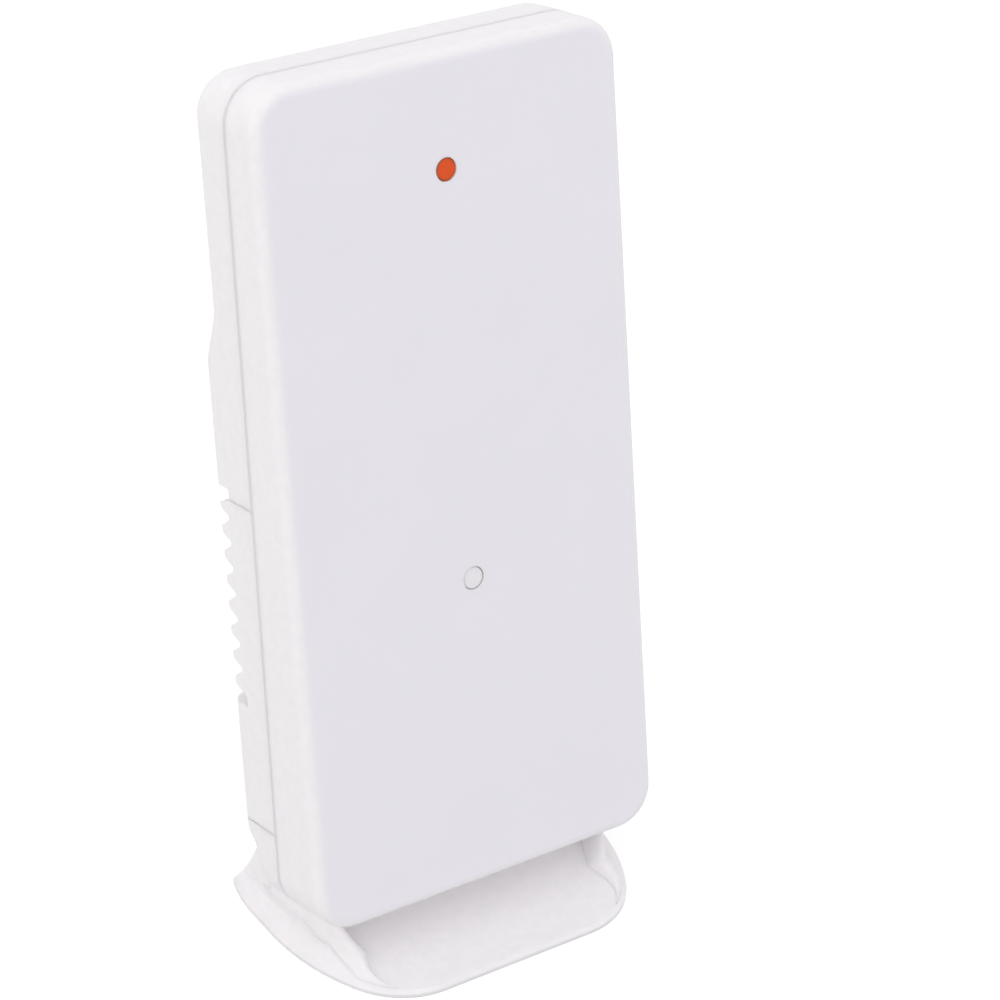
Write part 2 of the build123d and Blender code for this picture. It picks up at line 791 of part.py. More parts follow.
with BuildPart() as thermistor_leads:
    for x in (-bead_spacing / 2, bead_spacing / 2):
        with BuildSketch(facing_up(bead_height, x, bead_depth)):
            Circle(lead_diameter / 2)
        extrude(amount=bead_drop + lead_tail)
thermistor_leads.part.label = "thermistor_leads"
export_step(thermistor_leads.part, "parts/thermistor_leads.step")


# Screws
def screw_group(places, seat, length):
    """Round-headed screws driven forward, each with a cross recess in the head."""
    with BuildPart() as screws:
        for x, height in places:
            add(disc(seat - length, x, height, screw_shank, length))
            add(disc(seat, x, height, screw_head_diameter, screw_head))
        rims = screws.edges().filter_by(GeomType.CIRCLE)
        head_rims = rims.filter_by(
            lambda edge: abs(housing_frame.to_local_coords(edge.center()).Y - seat - screw_head) < 0.01
        )
        chamfer(head_rims, length=screw_head_edge)
        for x, height in places:
            with BuildSketch(facing_back(seat + screw_head - recess_depth, x, height)):
                Rectangle(recess_length, recess_width)
                Rectangle(recess_width, recess_length)
            extrude(amount=screw_head, mode=Mode.SUBTRACT)
    return screws.part


board_screws = screw_group(board_screw_places, board_back, board_screw_length)
board_screws.label = "board_screws"
export_step(board_screws, "parts/board_screws.step")
case_screws = Part(
    children=[
        screw_group(top_screw_places, top_screw_seat, case_screw_length),
        screw_group((bay_screw_place,), ridge_depth, case_screw_length),
    ]
)
case_screws.label = "case_screws"
export_step(case_screws, "parts/case_screws.step")

# Cells and their contacts
contact_floor = bay_floor + contact_thickness
contact_roof = bay_roof - contact_thickness


def cell(x, low, nub_up):
    """One AAA cell standing at x with its lowest point at low."""
    jacket_low = low if nub_up else low + cell_nub
    nub_low = low + cell_length - cell_nub if nub_up else low
    with BuildPart() as body:
        with BuildSketch(facing_up(jacket_low, x, cell_depth)):
            Circle(cell_diameter / 2)
        extrude(amount=cell_length - cell_nub)
        chamfer(body.edges().filter_by(GeomType.CIRCLE), length=cell_edge)
        with BuildSketch(facing_up(nub_low, x, cell_depth)):
            Circle(cell_nub_diameter / 2)
        extrude(amount=cell_nub)
    return body.part


battery_1 = cell(-cell_x, contact_roof - cell_length, True)
battery_1.label = "battery_1"
export_step(battery_1, "parts/battery_1.step")
battery_2 = cell(cell_x, contact_floor, False)
battery_2.label = "battery_2"
export_step(battery_2, "parts/battery_2.step")

with BuildPart() as bridge_contact:
    with BuildSketch(facing_up(bay_floor, 0, cell_depth)):
        Rectangle(cell_spacing + contact_width, contact_width)
    extrude(amount=contact_thickness)
bridge_contact.part.label = "bridge_contact"
export_step(bridge_contact.part, "parts/bridge_contact.step")


def terminal(x):
    """Flat plate over the cell with a tab that passes the bulkhead and lies on the board."""
    with BuildPart() as plate:
        with BuildSketch(facing_up(contact_roof, x, cell_depth)):
            Rectangle(contact_width, contact_width)
        extrude(amount=contact_thickness)
        with BuildSketch(facing_up(contact_roof, x, board_back + contact_thickness / 2)):
            Rectangle(tab_width, contact_thickness)
        extrude(amount=board_step + tab_overlap - contact_roof)
    return plate.part


positive_terminal = terminal(-cell_x)
positive_terminal.label = "positive_terminal"
export_step(positive_terminal, "parts/positive_terminal.step")
negative_terminal = terminal(cell_x)
negative_terminal.label = "negative_terminal"
export_step(negative_terminal, "parts/negative_terminal.step")

spring_height = contact_roof - contact_floor - cell_length


def coil_point(x, low, upwards, turn):
    """Middle of the wire after a number of turns from the wide end."""
    share = turn / spring_turns
    radius = spring_wide_radius + (spring_narrow_radius - spring_wide_radius) * share
    rise = spring_wire / 2 + (spring_height - spring_wire) * share
    height = low + rise if upwards else low + spring_height - rise
    angle = 2 * pi * turn
    return housing_point(x + radius * cos(angle), cell_depth + radius * sin(angle), height)


def coil_tangent(x, low, upwards, turn):
    """Direction of the wire after a number of turns."""
    step = 0.01
    ahead = coil_point(x, low, upwards, turn + step)
    behind = coil_point(x, low, upwards, turn - step)
    return (ahead - behind).normalized()


def contact_spring(x, low, upwards):
    """Conical wire spring with its wide end on the contact, two tangent arcs a quarter turn."""
    with BuildPart() as spring:
        with BuildLine() as coil:
            for quarter in range(round(4 * spring_turns)):
                start = coil_point(x, low, upwards, quarter / 4)
                end = coil_point(x, low, upwards, (quarter + 1) / 4)
                leaving = coil_tangent(x, low, upwards, quarter / 4)
                arriving = coil_tangent(x, low, upwards, (quarter + 1) / 4)
                span = end - start
                bend = 2 * (1 - leaving.dot(arriving))
                pull = span.dot(leaving + arriving)
                reach = ((pull ** 2 + bend * span.dot(span)) ** 0.5 - pull) / bend
                first_corner = start + leaving * reach
                last_corner = end - arriving * reach
                joint = (first_corner + last_corner) / 2
                TangentArc(start, joint, tangent=leaving)
                TangentArc(joint, end, tangent=last_corner - first_corner)
        wire_start = coil_point(x, low, upwards, 0)
        with BuildSketch(Plane(origin=wire_start, z_dir=coil_tangent(x, low, upwards, 0))):
            Circle(spring_wire / 2)
        sweep(path=coil.wires()[0])
    return spring.part


contact_springs = Part(
    children=[
        contact_spring(-cell_x, contact_floor, True),
        contact_spring(cell_x, contact_roof - spring_height, False),
    ]
)
contact_springs.label = "contact_springs"
export_step(contact_springs, "parts/contact_springs.step")
turn_points = 24
coil_trace = [
    coil_point(0, 0, True, step / turn_points) for step in range(round(spring_turns * turn_points) + 1)
]
coil_gap = min(
    (coil_trace[late] - coil_trace[early]).length - spring_wire
    for late in range(len(coil_trace))
    for early in range(late - turn_points // 2)
)
print("least gap of a contact spring to itself, mm:", round(coil_gap, 2))


# Stand: a thin bevelled foot rising to a saddle under the housing and a heel behind it
def stand_outline(front_half, front_reach, corner_bend_radius, side_bend_radius, rear_half, rear_reach):
    """Right half of the outline, measured from the housing's front bottom corner."""
    front = housing_y - front_reach
    rear = housing_y + rear_reach
    with BuildLine() as half:
        start = Line((0, front), (front_half, front))
        corner = JernArc(start @ 1, (1, 0), corner_bend_radius, outline_bend)
        side = JernArc(corner @ 1, corner % 1, side_bend_radius, 90 - outline_bend)
        flank = Line(side @ 1, ((side @ 1).X, rear - rear_bend_length))
        bend = TangentArc(flank @ 1, (rear_half, rear), tangent=(0, 1))
        Line(bend @ 1, (0, rear))
        mirror(about=Plane.YZ)
    return half.line


def side_point(depth, height):
    """Housing point as world Y and Z."""
    point = housing_point(0, depth, height)
    return (point.Y, point.Z)


rear_reach = foot_length - foot_front_reach
ground = (
    ground_front_half, foot_front_reach, ground_corner_radius, ground_side_radius,
    ground_rear_half, rear_reach,
)
bevel = (
    bevel_front_half, foot_front_reach - bevel_front_inset, bevel_corner_radius,
    bevel_side_radius, bevel_rear_half, rear_reach - bevel_rear_inset,
)
heel_top_height = side_point(*heel_top)[1]
with BuildPart() as stand:
    with BuildSketch():
        add(stand_outline(*ground))
        make_face()
    extrude(amount=foot_edge)
    with BuildSketch(Plane.XY.offset(foot_edge)):
        add(stand_outline(*ground))
        make_face()
    with BuildSketch(Plane.XY.offset(bevel_top)):
        add(stand_outline(*bevel))
        make_face()
    loft(ruled=True)
    with BuildSketch(Plane.XY.offset(bevel_top)):
        add(stand_outline(*bevel))
        make_face()
    extrude(amount=heel_top_height)
    with BuildSketch(Plane.YZ):
        with BuildLine():
            ramp_start = (housing_y - foot_front_reach - overrun, ramp_start_height)
            ramp_low = (housing_y - foot_front_reach, ramp_start_height)
            ramp_high = (housing_y + ramp_end[0], ramp_end[1])
            flank_run = (ramp_end[1] - side_point(heel_front_depth, 0)[1]) / lean_cosine
            heel_foot = side_point(heel_front_depth, flank_run)
            Line(ramp_start, ramp_low)
            ThreePointArc(
                ramp_low, (housing_y + ramp_middle[0], ramp_middle[1]), ramp_high
            )
            Polyline(
                ramp_high,
                heel_foot,
                side_point(heel_front_depth, heel_inner_height),
                side_point(*heel_top),
            )
            rear_land = (housing_y + rear_reach, foot_edge)
            ThreePointArc(
                side_point(*heel_top),
                (housing_y + heel_slope_middle[0], heel_slope_middle[1]),
                rear_land,
            )
            Polyline(
                rear_land,
                (rear_land[0] + overrun, foot_edge),
                (rear_land[0] + overrun, -overrun),
                (ramp_start[0], -overrun),
                ramp_start,
            )
        make_face()
    extrude(amount=case_sweep, both=True, mode=Mode.INTERSECT)
    # Saddle under the housing
    saddle_back = side_point(heel_front_depth, 0)[0] - housing_y
    with BuildSketch(Plane.XY.offset(bevel_top)):
        with Locations((0, housing_y + (saddle_front + saddle_back) / 2)):
            Rectangle(2 * saddle_half_width, saddle_back - saddle_front)
    extrude(amount=front_corner_height - bevel_top)
    add(case_form.part, mode=Mode.SUBTRACT)
    with BuildSketch(facing_up(-seat_relief)):
        with Locations((0, (seat_flat_end + heel_front_depth) / 2)):
            Rectangle(case_sweep, heel_front_depth - seat_flat_end)
    extrude(amount=housing_height / 2, mode=Mode.SUBTRACT)
    # Tongue that holds the housing
    with BuildSketch(facing_up(-tongue_root, 0, tongue_depth)):
        Rectangle(tongue_width, tongue_thickness)
    extrude(amount=tongue_root + tongue_height)
    # Cored underside
    for front, back, height in core_rows:
        with BuildSketch(Plane.XY):
            with Locations((0, housing_y + (front + back) / 2)):
                with GridLocations(core_pitch, 0, core_columns, 1):
                    Rectangle(core_width, back - front)
        extrude(amount=height, mode=Mode.SUBTRACT)
stand.part.label = "stand"
export_step(stand.part, "parts/stand.step")
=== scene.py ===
from math import cos, pi, radians, sin

import bpy
from mathutils import Matrix, Vector


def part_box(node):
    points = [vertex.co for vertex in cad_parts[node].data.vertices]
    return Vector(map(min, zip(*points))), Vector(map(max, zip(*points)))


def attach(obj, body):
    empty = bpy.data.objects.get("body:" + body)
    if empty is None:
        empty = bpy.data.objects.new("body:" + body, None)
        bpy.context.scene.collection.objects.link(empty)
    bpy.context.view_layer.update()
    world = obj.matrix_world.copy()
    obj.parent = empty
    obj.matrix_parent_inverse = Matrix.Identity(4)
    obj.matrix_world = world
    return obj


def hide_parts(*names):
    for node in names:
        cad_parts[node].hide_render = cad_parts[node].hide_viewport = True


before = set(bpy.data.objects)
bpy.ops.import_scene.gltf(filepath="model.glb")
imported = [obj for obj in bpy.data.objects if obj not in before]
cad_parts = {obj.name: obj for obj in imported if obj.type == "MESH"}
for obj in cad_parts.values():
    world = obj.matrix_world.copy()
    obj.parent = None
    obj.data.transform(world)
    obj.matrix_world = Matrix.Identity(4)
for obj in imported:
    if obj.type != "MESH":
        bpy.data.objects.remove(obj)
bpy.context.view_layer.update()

MM = 0.001
CAMERA_AIM = Vector((7.042, 7.497, 61.764)) * MM
CAMERA_PLACE = Vector((-246.576, -313.547, 330.197)) * MM
CAMERA_ROLL = radians(6.264)
CAMERA_LENS = 127.934
SENSOR_WIDTH = 36.0
FLOOR_HALF = 2.0
FLOOR_GLOW = 0.60
SKY_SHARE = 0.88
KEY_SHARE = 0.17
KEY_SIZE = 0.9
KEY_PLACE = Vector((-1.15, 0.05, 0.42))
TOP_SHARE = 0.14
TOP_SIZE = 1.2
TOP_PLACE = Vector((0.05, -0.36, 1.20))
AIM_OF_LAMPS = Vector((0.0, 0.0, 0.06))


def linear(colour):
    """sRGB hex colour as the linear values that Blender wants."""
    channels = [int(colour[place:place + 2], 16) / 255 for place in (0, 2, 4)]
    return tuple(c / 12.92 if c <= 0.04045 else ((c + 0.055) / 1.055) ** 2.4
                 for c in channels) + (1.0,)


def add_node(tree, kind, inputs=(), **settings):
    """Adds a node, then fills each of its inputs with a value or a link."""
    new = tree.nodes.new("ShaderNode" + kind)
    for name, value in settings.items():
        setattr(new, name, value)
    for name, value in dict(inputs).items():
        if isinstance(value, bpy.types.NodeSocket):
            tree.links.new(value, new.inputs[name])
        else:
            new.inputs[name].default_value = value
    return new


def new_material(name, **shader_values):
    """A material with its surface shader set from typical values of the real one."""
    material = bpy.data.materials.new(name)
    material.use_nodes = True
    shader = material.node_tree.nodes["Principled BSDF"]
    for socket, value in shader_values.items():
        shader.inputs[socket.replace("_", " ")].default_value = value
    return material, material.node_tree, shader


def new_object(name, data):
    """Puts an object with this data into the scene."""
    made = bpy.data.objects.new(name, data)
    bpy.context.scene.collection.objects.link(made)
    return made


def feed(tree, shader, **sources):
    """Links each source to the shader's input of that name."""
    for socket, source in sources.items():
        tree.links.new(source, shader.inputs[socket.replace("_", " ")])


camera_data = bpy.data.cameras.new("camera")
camera_data.lens = CAMERA_LENS
camera_data.sensor_width = SENSOR_WIDTH
camera_data.clip_start = 0.02
camera_data.clip_end = 20.0
camera = new_object("camera", camera_data)
view_line = (CAMERA_AIM - CAMERA_PLACE).normalized()
level_right = view_line.cross(Vector((0, 0, 1))).normalized()
level_up = level_right.cross(view_line)
camera_right = level_right * cos(CAMERA_ROLL) + level_up * sin(CAMERA_ROLL)
camera_up = camera_right.cross(view_line)
camera_turn = Matrix((camera_right, camera_up, -view_line)).transposed()
camera.matrix_world = Matrix.Translation(CAMERA_PLACE) @ camera_turn.to_4x4()
bpy.context.scene.camera = camera
bpy.context.scene.view_settings.view_transform = "Standard"

# Painted backdrop board: matt white, a little lighter to the eye than the light on it,
# so that it reads as the photograph's white and still takes the object's shadow.
floor_mesh = bpy.data.meshes.new("floor")
floor_corners = [(-FLOOR_HALF, -FLOOR_HALF, 0), (FLOOR_HALF, -FLOOR_HALF, 0),
                 (FLOOR_HALF, FLOOR_HALF, 0), (-FLOOR_HALF, FLOOR_HALF, 0)]
floor_mesh.from_pydata(floor_corners, [], [(0, 1, 2, 3)])
floor = new_object("floor", floor_mesh)
painted_board, tree, shader = new_material("painted_board", Roughness=0.9,
                                           Emission_Color=linear("ffffff"))
path = add_node(tree, "LightPath")
seen_colour = add_node(tree, "Mix", {0: path.outputs["Is Camera Ray"], 6: linear("dedede"),
                                     7: linear("b4b4b4")}, data_type="RGBA")
seen_glow = add_node(tree, "Math", {0: path.outputs["Is Camera Ray"], 1: FLOOR_GLOW},
                     operation="MULTIPLY")
feed(tree, shader, Base_Color=seen_colour.outputs[2], Emission_Strength=seen_glow.outputs[0])
floor_mesh.materials.append(painted_board)

# Even sky of white cloth all round, and two soft boxes: one at the left, one overhead.
world = bpy.data.worlds.new("studio")
bpy.context.scene.world = world
world.use_nodes = True
tree = world.node_tree
background = tree.nodes["Background"]
background.inputs["Color"].default_value = linear("fdfcff")
path = add_node(tree, "LightPath")
seen = add_node(tree, "Math", {0: path.outputs["Is Camera Ray"], 1: path.outputs["Is Glossy Ray"]},
                operation="MAXIMUM")
seen = add_node(tree, "Math", {0: seen.outputs[0], 1: path.outputs["Is Transmission Ray"]},
                operation="MAXIMUM")
strength = add_node(tree, "MapRange", {"Value": seen.outputs[0], "To Min": SKY_SHARE,
                                       "To Max": 1.0})
tree.links.new(strength.outputs["Result"], background.inputs["Strength"])
for lamp_name, place, side, share, tint in (
    ("left_soft_box", KEY_PLACE, KEY_SIZE, KEY_SHARE, "fffdf9"),
    ("overhead_soft_box", TOP_PLACE, TOP_SIZE, TOP_SHARE, "ffffff"),
):
    lamp_data = bpy.data.lights.new(lamp_name, "AREA")
    lamp_data.shape = "SQUARE"
    lamp_data.size = side
    lamp_data.color = linear(tint)[:3]
    reach = AIM_OF_LAMPS - place
    # A lamp with this energy lights a card that faces it to that share of white.
    lamp_data.energy = share * pi ** 2 * reach.length_squared
    lamp_object = new_object(lamp_name, lamp_data)
    lamp_object.location = place
    lamp_object.rotation_euler = reach.to_track_quat("-Z", "Y").to_euler()

# Stand
# One moulded foot of white ABS, thin and bevelled in front, with a saddle, a tongue and a heel
# that hold the housing. Its tool was finely spark-eroded, so it looks dry and softly grained.
LEAN = radians(15.0)
CORNER_Y = -9.45
CORNER_Z = 9.6
GRAIN = 0.35
MOTTLE = 1.6
ROUGHNESS_SPREAD = 0.05
# White ABS lets a little light through about a millimetre, which softens its gaps and edges.
WHITE_ABS = {"IOR": 1.54, "Subsurface_Weight": 0.4, "Subsurface_Radius": (1.0, 0.97, 0.93),
             "Subsurface_Scale": 1.2 * MM}


def dress(node, material):
    """Gives a solid of the frame its finished material."""
    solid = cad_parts[node]
    if not solid.material_slots:
        solid.data.materials.append(material)
    for material_slot in solid.material_slots:
        material_slot.material = material


def grain(tree, shader, light_tone, dark_tone, roughness, relief,
          grain_size=GRAIN, mottle_size=MOTTLE):
    """Two close tones in soft patches, with a fine relief, as an eroded tool leaves on plastic."""
    places = add_node(tree, "TexCoord")
    patches = add_node(tree, "TexNoise", {
        "Vector": places.outputs["Object"], "Scale": 1 / (mottle_size * MM),
        "Detail": 4.0, "Roughness": 0.6})
    fine = add_node(tree, "TexNoise", {
        "Vector": places.outputs["Object"], "Scale": 1 / (grain_size * MM),
        "Detail": 3.0, "Roughness": 0.55})
    tone = add_node(tree, "MapRange", {"Value": patches.outputs["Fac"], "From Min": 0.35,
                                       "From Max": 0.65})
    colour = add_node(tree, "Mix", {0: tone.outputs["Result"], 6: linear(dark_tone),
                                    7: linear(light_tone)}, data_type="RGBA")
    rough = add_node(tree, "MapRange", {
        "Value": fine.outputs["Fac"], "From Min": 0.3, "From Max": 0.7,
        "To Min": roughness - ROUGHNESS_SPREAD, "To Max": roughness + ROUGHNESS_SPREAD})
    bump = add_node(tree, "Bump", {"Strength": 1.0, "Distance": relief * MM,
                                   "Height": fine.outputs["Fac"]})
    feed(tree, shader, Base_Color=colour.outputs[2], Roughness=rough.outputs["Result"],
         Normal=bump.outputs["Normal"])
    return places, colour, rough, bump


def finish_piece(name, points, faces, material, body="housing", sharp=35.0):
    """Makes one piece from its points and faces, with its material, and lets it ride."""
    mesh = bpy.data.meshes.new(name)
    mesh.from_pydata([tuple(point) for point in points], [], faces)
    mesh.validate()
    mesh.shade_smooth()
    mesh.set_sharp_from_angle(angle=radians(sharp))
    mesh.materials.append(material)
    piece = new_object(name, mesh)
    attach(piece, body)
    return piece


# Spark-eroded ABS: a grain of a third of a millimetre scatters the light, so that nothing
# mirrors in it.
stand_abs, tree, shader = new_material("spark_eroded_abs_of_stand", **WHITE_ABS)
grain(tree, shader, "f6f3f4", "f2f0f1", 0.55, 0.012)
dress("stand", stand_abs)

# Cheeks of the stand: at each side the foot's bevel runs on up to the housing's lower corner, so
# that no gap shows there; towards the front the ridge falls to the level of the foot.
FOOT_EDGE = 0.6
FOOT_REACH = 7.8
FOOT_START = 1.0
FOOT_SLOPE = 0.1224
FOOT_BEND = 0.01419
FOOT_MIDDLE = 2.0
FOOT_SEAT = 5.2
BEVEL_FRONT = -5.0
BEVEL_HALF = 10.8
BEVEL_CORNER = 12.5
BEVEL_SIDE = 34.0
BEVEL_TURN = radians(30)
BEVEL_TOP = 3.4
BEVEL_RUN_SIDE = 1.5
BEVEL_RUN_GAIN = 3.1
BEVEL_RUN_MOST = 3.3
CHEEK_START = -3.0
CHEEK_TOUCH = 6.0
CHEEK_END = 19.0
CHEEK_STATIONS = 44
CHEEK_ROOT = 0.4
CHEEK_TUCK = 0.06
CHEEK_SET_IN = 0.4
CHEEK_SINK = 0.3
CHEEK_FULL_RISE = 1.5
# Each side of the ridge as shares of its height and distances in from the bevel's upper edge.
CHEEK_OUTSIDE = ((0.0, 0.0), (0.4, 0.02), (0.75, 0.08), (0.92, 0.22), (1.0, 0.5))
CHEEK_INSIDE = ((0.97, 0.5), (0.78, 0.95), (0.45, 1.5), (0.15, 2.3), (0.0, 3.3))
HOUSING_HALF = 28.75
HOUSING_CORNER = 6.0
HOUSING_GAP = 0.1
HOUSING_BACK = 17.6
BACK_ROUND = 3.1
BACK_ROUND_USED = 0.8


def foot_level(run):
    """Height of the foot's top at a distance behind the housing's front corner."""
    along = run + FOOT_REACH
    rise = FOOT_SLOPE * along + FOOT_BEND * along * (run - FOOT_MIDDLE)
    return min(FOOT_SEAT, FOOT_START + rise)


def bevel_place(run):
    """Half width of the bevel's upper edge there, and its inward direction."""
    if run < BEVEL_FRONT + BEVEL_CORNER / 2:
        turn = 1 - (run - BEVEL_FRONT) / BEVEL_CORNER
        half = BEVEL_HALF + BEVEL_CORNER * (1 - turn ** 2) ** 0.5
    else:
        turn = 0.5 - (run - BEVEL_FRONT - BEVEL_CORNER / 2) / BEVEL_SIDE
        half = BEVEL_HALF + BEVEL_CORNER * cos(BEVEL_TURN) + BEVEL_SIDE * (
            (1 - turn ** 2) ** 0.5 - cos(BEVEL_TURN))
    return half, Vector((-((1 - turn ** 2) ** 0.5), turn))


def housing_level(half, run):
    """Height of the housing's underside, whose corners and rear edge are rounded."""
    over = max(0.0, half - (HOUSING_HALF - HOUSING_CORNER))
    rise = 0.0
    # Depth and rise depend on each other, and a few rounds settle both.
    for _ in range(8):
        depth = (run - rise * sin(LEAN)) / cos(LEAN)
        past = min(max(0.0, depth - (HOUSING_BACK - BACK_ROUND)), BACK_ROUND_USED * BACK_ROUND)
        inset = BACK_ROUND - (BACK_ROUND ** 2 - past ** 2) ** 0.5
        rise = HOUSING_CORNER - ((HOUSING_CORNER - inset) ** 2 - over ** 2) ** 0.5
    return CORNER_Z + rise * cos(LEAN) - depth * sin(LEAN)


points, faces = [], []
for side in (-1, 1):
    for station in range(CHEEK_STATIONS + 1):
        run = CHEEK_START + (CHEEK_END - CHEEK_START) * station / CHEEK_STATIONS
        half, inward = bevel_place(run)
        foot = foot_level(run)
        rising = min(1.0, (run - CHEEK_START) / (CHEEK_TOUCH - CHEEK_START)) ** 2
        rise = rising * (housing_level(half - CHEEK_SET_IN, run) - HOUSING_GAP - foot)
        slim = min(1.0, rise / CHEEK_FULL_RISE)
        bevel_run = min(BEVEL_RUN_MOST, BEVEL_RUN_SIDE + BEVEL_RUN_GAIN * inward.y)
        below = BEVEL_TOP - min(foot, BEVEL_TOP) + CHEEK_ROOT
        section = [(-bevel_run * below / (BEVEL_TOP - FOOT_EDGE) + CHEEK_TUCK, foot - CHEEK_ROOT)]
        for share, inset in CHEEK_OUTSIDE:
            height = foot + share * rise
            below = BEVEL_TOP - min(height, BEVEL_TOP)
            section.append((inset * slim - bevel_run * below / (BEVEL_TOP - FOOT_EDGE), height))
        crest_reach = section[-1][0]
        for share, inset in CHEEK_INSIDE:
            sink = 0.0 if share else CHEEK_SINK
            section.append((crest_reach + inset * slim, foot + share * rise - sink))
        for reach, height in section:
            across, along = half + inward.x * reach, run + inward.y * reach
            points.append(Vector((side * across, CORNER_Y + along, height)) * MM)
    first = len(points) - (CHEEK_STATIONS + 1) * len(section)
    for station in range(CHEEK_STATIONS):
        for place in range(len(section) - 1):
            corner = first + station * len(section) + place
            face = (corner, corner + 1, corner + 1 + len(section), corner + len(section))
            faces.append(face if side < 0 else face[::-1])
finish_piece("stand_cheeks", points, faces, stand_abs, body="stand", sharp=60.0)

# Front shell
# White ABS tray that carries the board. The tool's face was polished to a satin, so the front is
# smooth; its rounded edge and its sides keep the eroded grain. The front's colour holds painted
# light: a little darker than the sides and tinted lavender, as cool light on it would show.
FRONT_DIRECTION = (0.0, -cos(LEAN), sin(LEAN))
SEAM_LOW = 10.6
SEAM_FALL = 3.8 / 120
SEAM_GAP = 0.35
SHADE_START = 0.15
SHADE_END = 0.80
POLISH_START = 0.90
POLISH_END = 0.985
SHRINK_WAVE = 14.0
ORANGE_PEEL = 0.7
ORANGE_PEEL_RELIEF = 0.003


def housing_places(tree, x=0.0, depth=0.0, height=0.0):
    """Places in the leaning housing: across, behind the front face, and up, from a given point."""
    source = add_node(tree, "TexCoord")
    back_y = CORNER_Y * cos(LEAN) - CORNER_Z * sin(LEAN)
    back_z = CORNER_Y * sin(LEAN) + CORNER_Z * cos(LEAN)
    shift = Vector((-x, -back_y - depth, -back_z - height)) * MM
    return add_node(tree, "Mapping", {"Vector": source.outputs["Object"], "Rotation": (LEAN, 0, 0),
                                      "Location": shift})


def seam_shade(tree, colour):
    """Painted shade along the parting groove: the colour darkens for almost a millimetre each
    side, where the groove's rounded lips would hold a little shade.
    """
    place = housing_places(tree)
    across = add_node(tree, "VectorMath", {0: place.outputs["Vector"], 1: (0.0, 1.0, SEAM_FALL)},
                      operation="DOT_PRODUCT")
    away = add_node(tree, "Math", {0: across.outputs["Value"], 1: (SEAM_LOW + SEAM_GAP / 2) * MM},
                    operation="SUBTRACT")
    away = add_node(tree, "Math", {0: away.outputs[0]}, operation="ABSOLUTE")
    near = add_node(tree, "MapRange", {
        "Value": away.outputs[0], "From Min": SHADE_START * MM, "From Max": SHADE_END * MM,
        "To Min": 1.0, "To Max": 0.0}, interpolation_type="SMOOTHSTEP")
    return add_node(tree, "Mix", {0: near.outputs["Result"], 6: colour, 7: linear("f0eeed")},
                    data_type="RGBA")


satin_abs, tree, shader = new_material("satin_and_spark_eroded_abs", **WHITE_ABS)
places, side_colour, side_rough, side_bump = grain(tree, shader, "f3f1f1", "efeeee", 0.60, 0.015)
facing = add_node(tree, "VectorMath", {0: places.outputs["Normal"], 1: FRONT_DIRECTION},
                  operation="DOT_PRODUCT")
# This mask of the front face sets the satin, and also the painted cool light in the front's
# colour.
polished = add_node(tree, "MapRange", {
    "Value": facing.outputs["Value"], "From Min": POLISH_START, "From Max": POLISH_END},
    interpolation_type="SMOOTHSTEP")
# The satin still has slow, hardly visible waves where the plastic shrank, centimetres apart.
waves = add_node(tree, "TexNoise", {"Vector": places.outputs["Object"],
                                    "Scale": 1 / (SHRINK_WAVE * MM), "Detail": 2.0})
orange_peel = add_node(tree, "TexNoise", {"Vector": places.outputs["Object"],
                                          "Scale": 1 / (ORANGE_PEEL * MM), "Detail": 2.0})
# Painted light: the front's tones are a little darker than the sides' and tinted lavender, for
# cool light on the front face.
front_colour_and_painted_light = add_node(tree, "Mix", {0: waves.outputs["Fac"], 6: linear("eeecf1"),
                                      7: linear("f1eff4")}, data_type="RGBA")
front_rough = add_node(tree, "MapRange", {
    "Value": orange_peel.outputs["Fac"], "From Min": 0.3, "From Max": 0.7,
    "To Min": 0.40, "To Max": 0.46})
front_bump = add_node(tree, "Bump", {"Strength": 1.0, "Distance": ORANGE_PEEL_RELIEF * MM,
                                     "Height": orange_peel.outputs["Fac"]})
# Painted shade along the parting groove, on the rounded edge and the sides.
side_colour = seam_shade(tree, side_colour.outputs[2])
colour = add_node(tree, "Mix", {0: polished.outputs["Result"], 6: side_colour.outputs[2],
                                7: front_colour_and_painted_light.outputs[2]}, data_type="RGBA")
rough = add_node(tree, "Mix", {0: polished.outputs["Result"], 2: side_rough.outputs["Result"],
                               3: front_rough.outputs["Result"]})
relief = add_node(tree, "Mix", {0: polished.outputs["Result"], 4: side_bump.outputs["Normal"],
                                5: front_bump.outputs["Normal"]}, data_type="VECTOR")
feed(tree, shader, Base_Color=colour.outputs[2], Roughness=rough.outputs[0],
     Normal=relief.outputs[1])
dress("front_shell", satin_abs)

# Lip in the parting groove: the rim of the front shell stands up inside the back shell's edge, so
# the groove all round is shallow and its floor is the same plastic.
LIP_HALF = 28.73
LIP_LOW = 0.02
LIP_HIGH = 119.98
LIP_DEPTH = 0.005
LIP_BODY = 0.55
LIP_OVERLAP = 0.01
LIP_ROUND = 9


def housing_point(x, depth, height):
    """A point of the leaning housing in metres: across, behind the front face, and up it."""
    return Vector((x, CORNER_Y + depth * cos(LEAN) + height * sin(LEAN),
                   CORNER_Z + height * cos(LEAN) - depth * sin(LEAN))) * MM


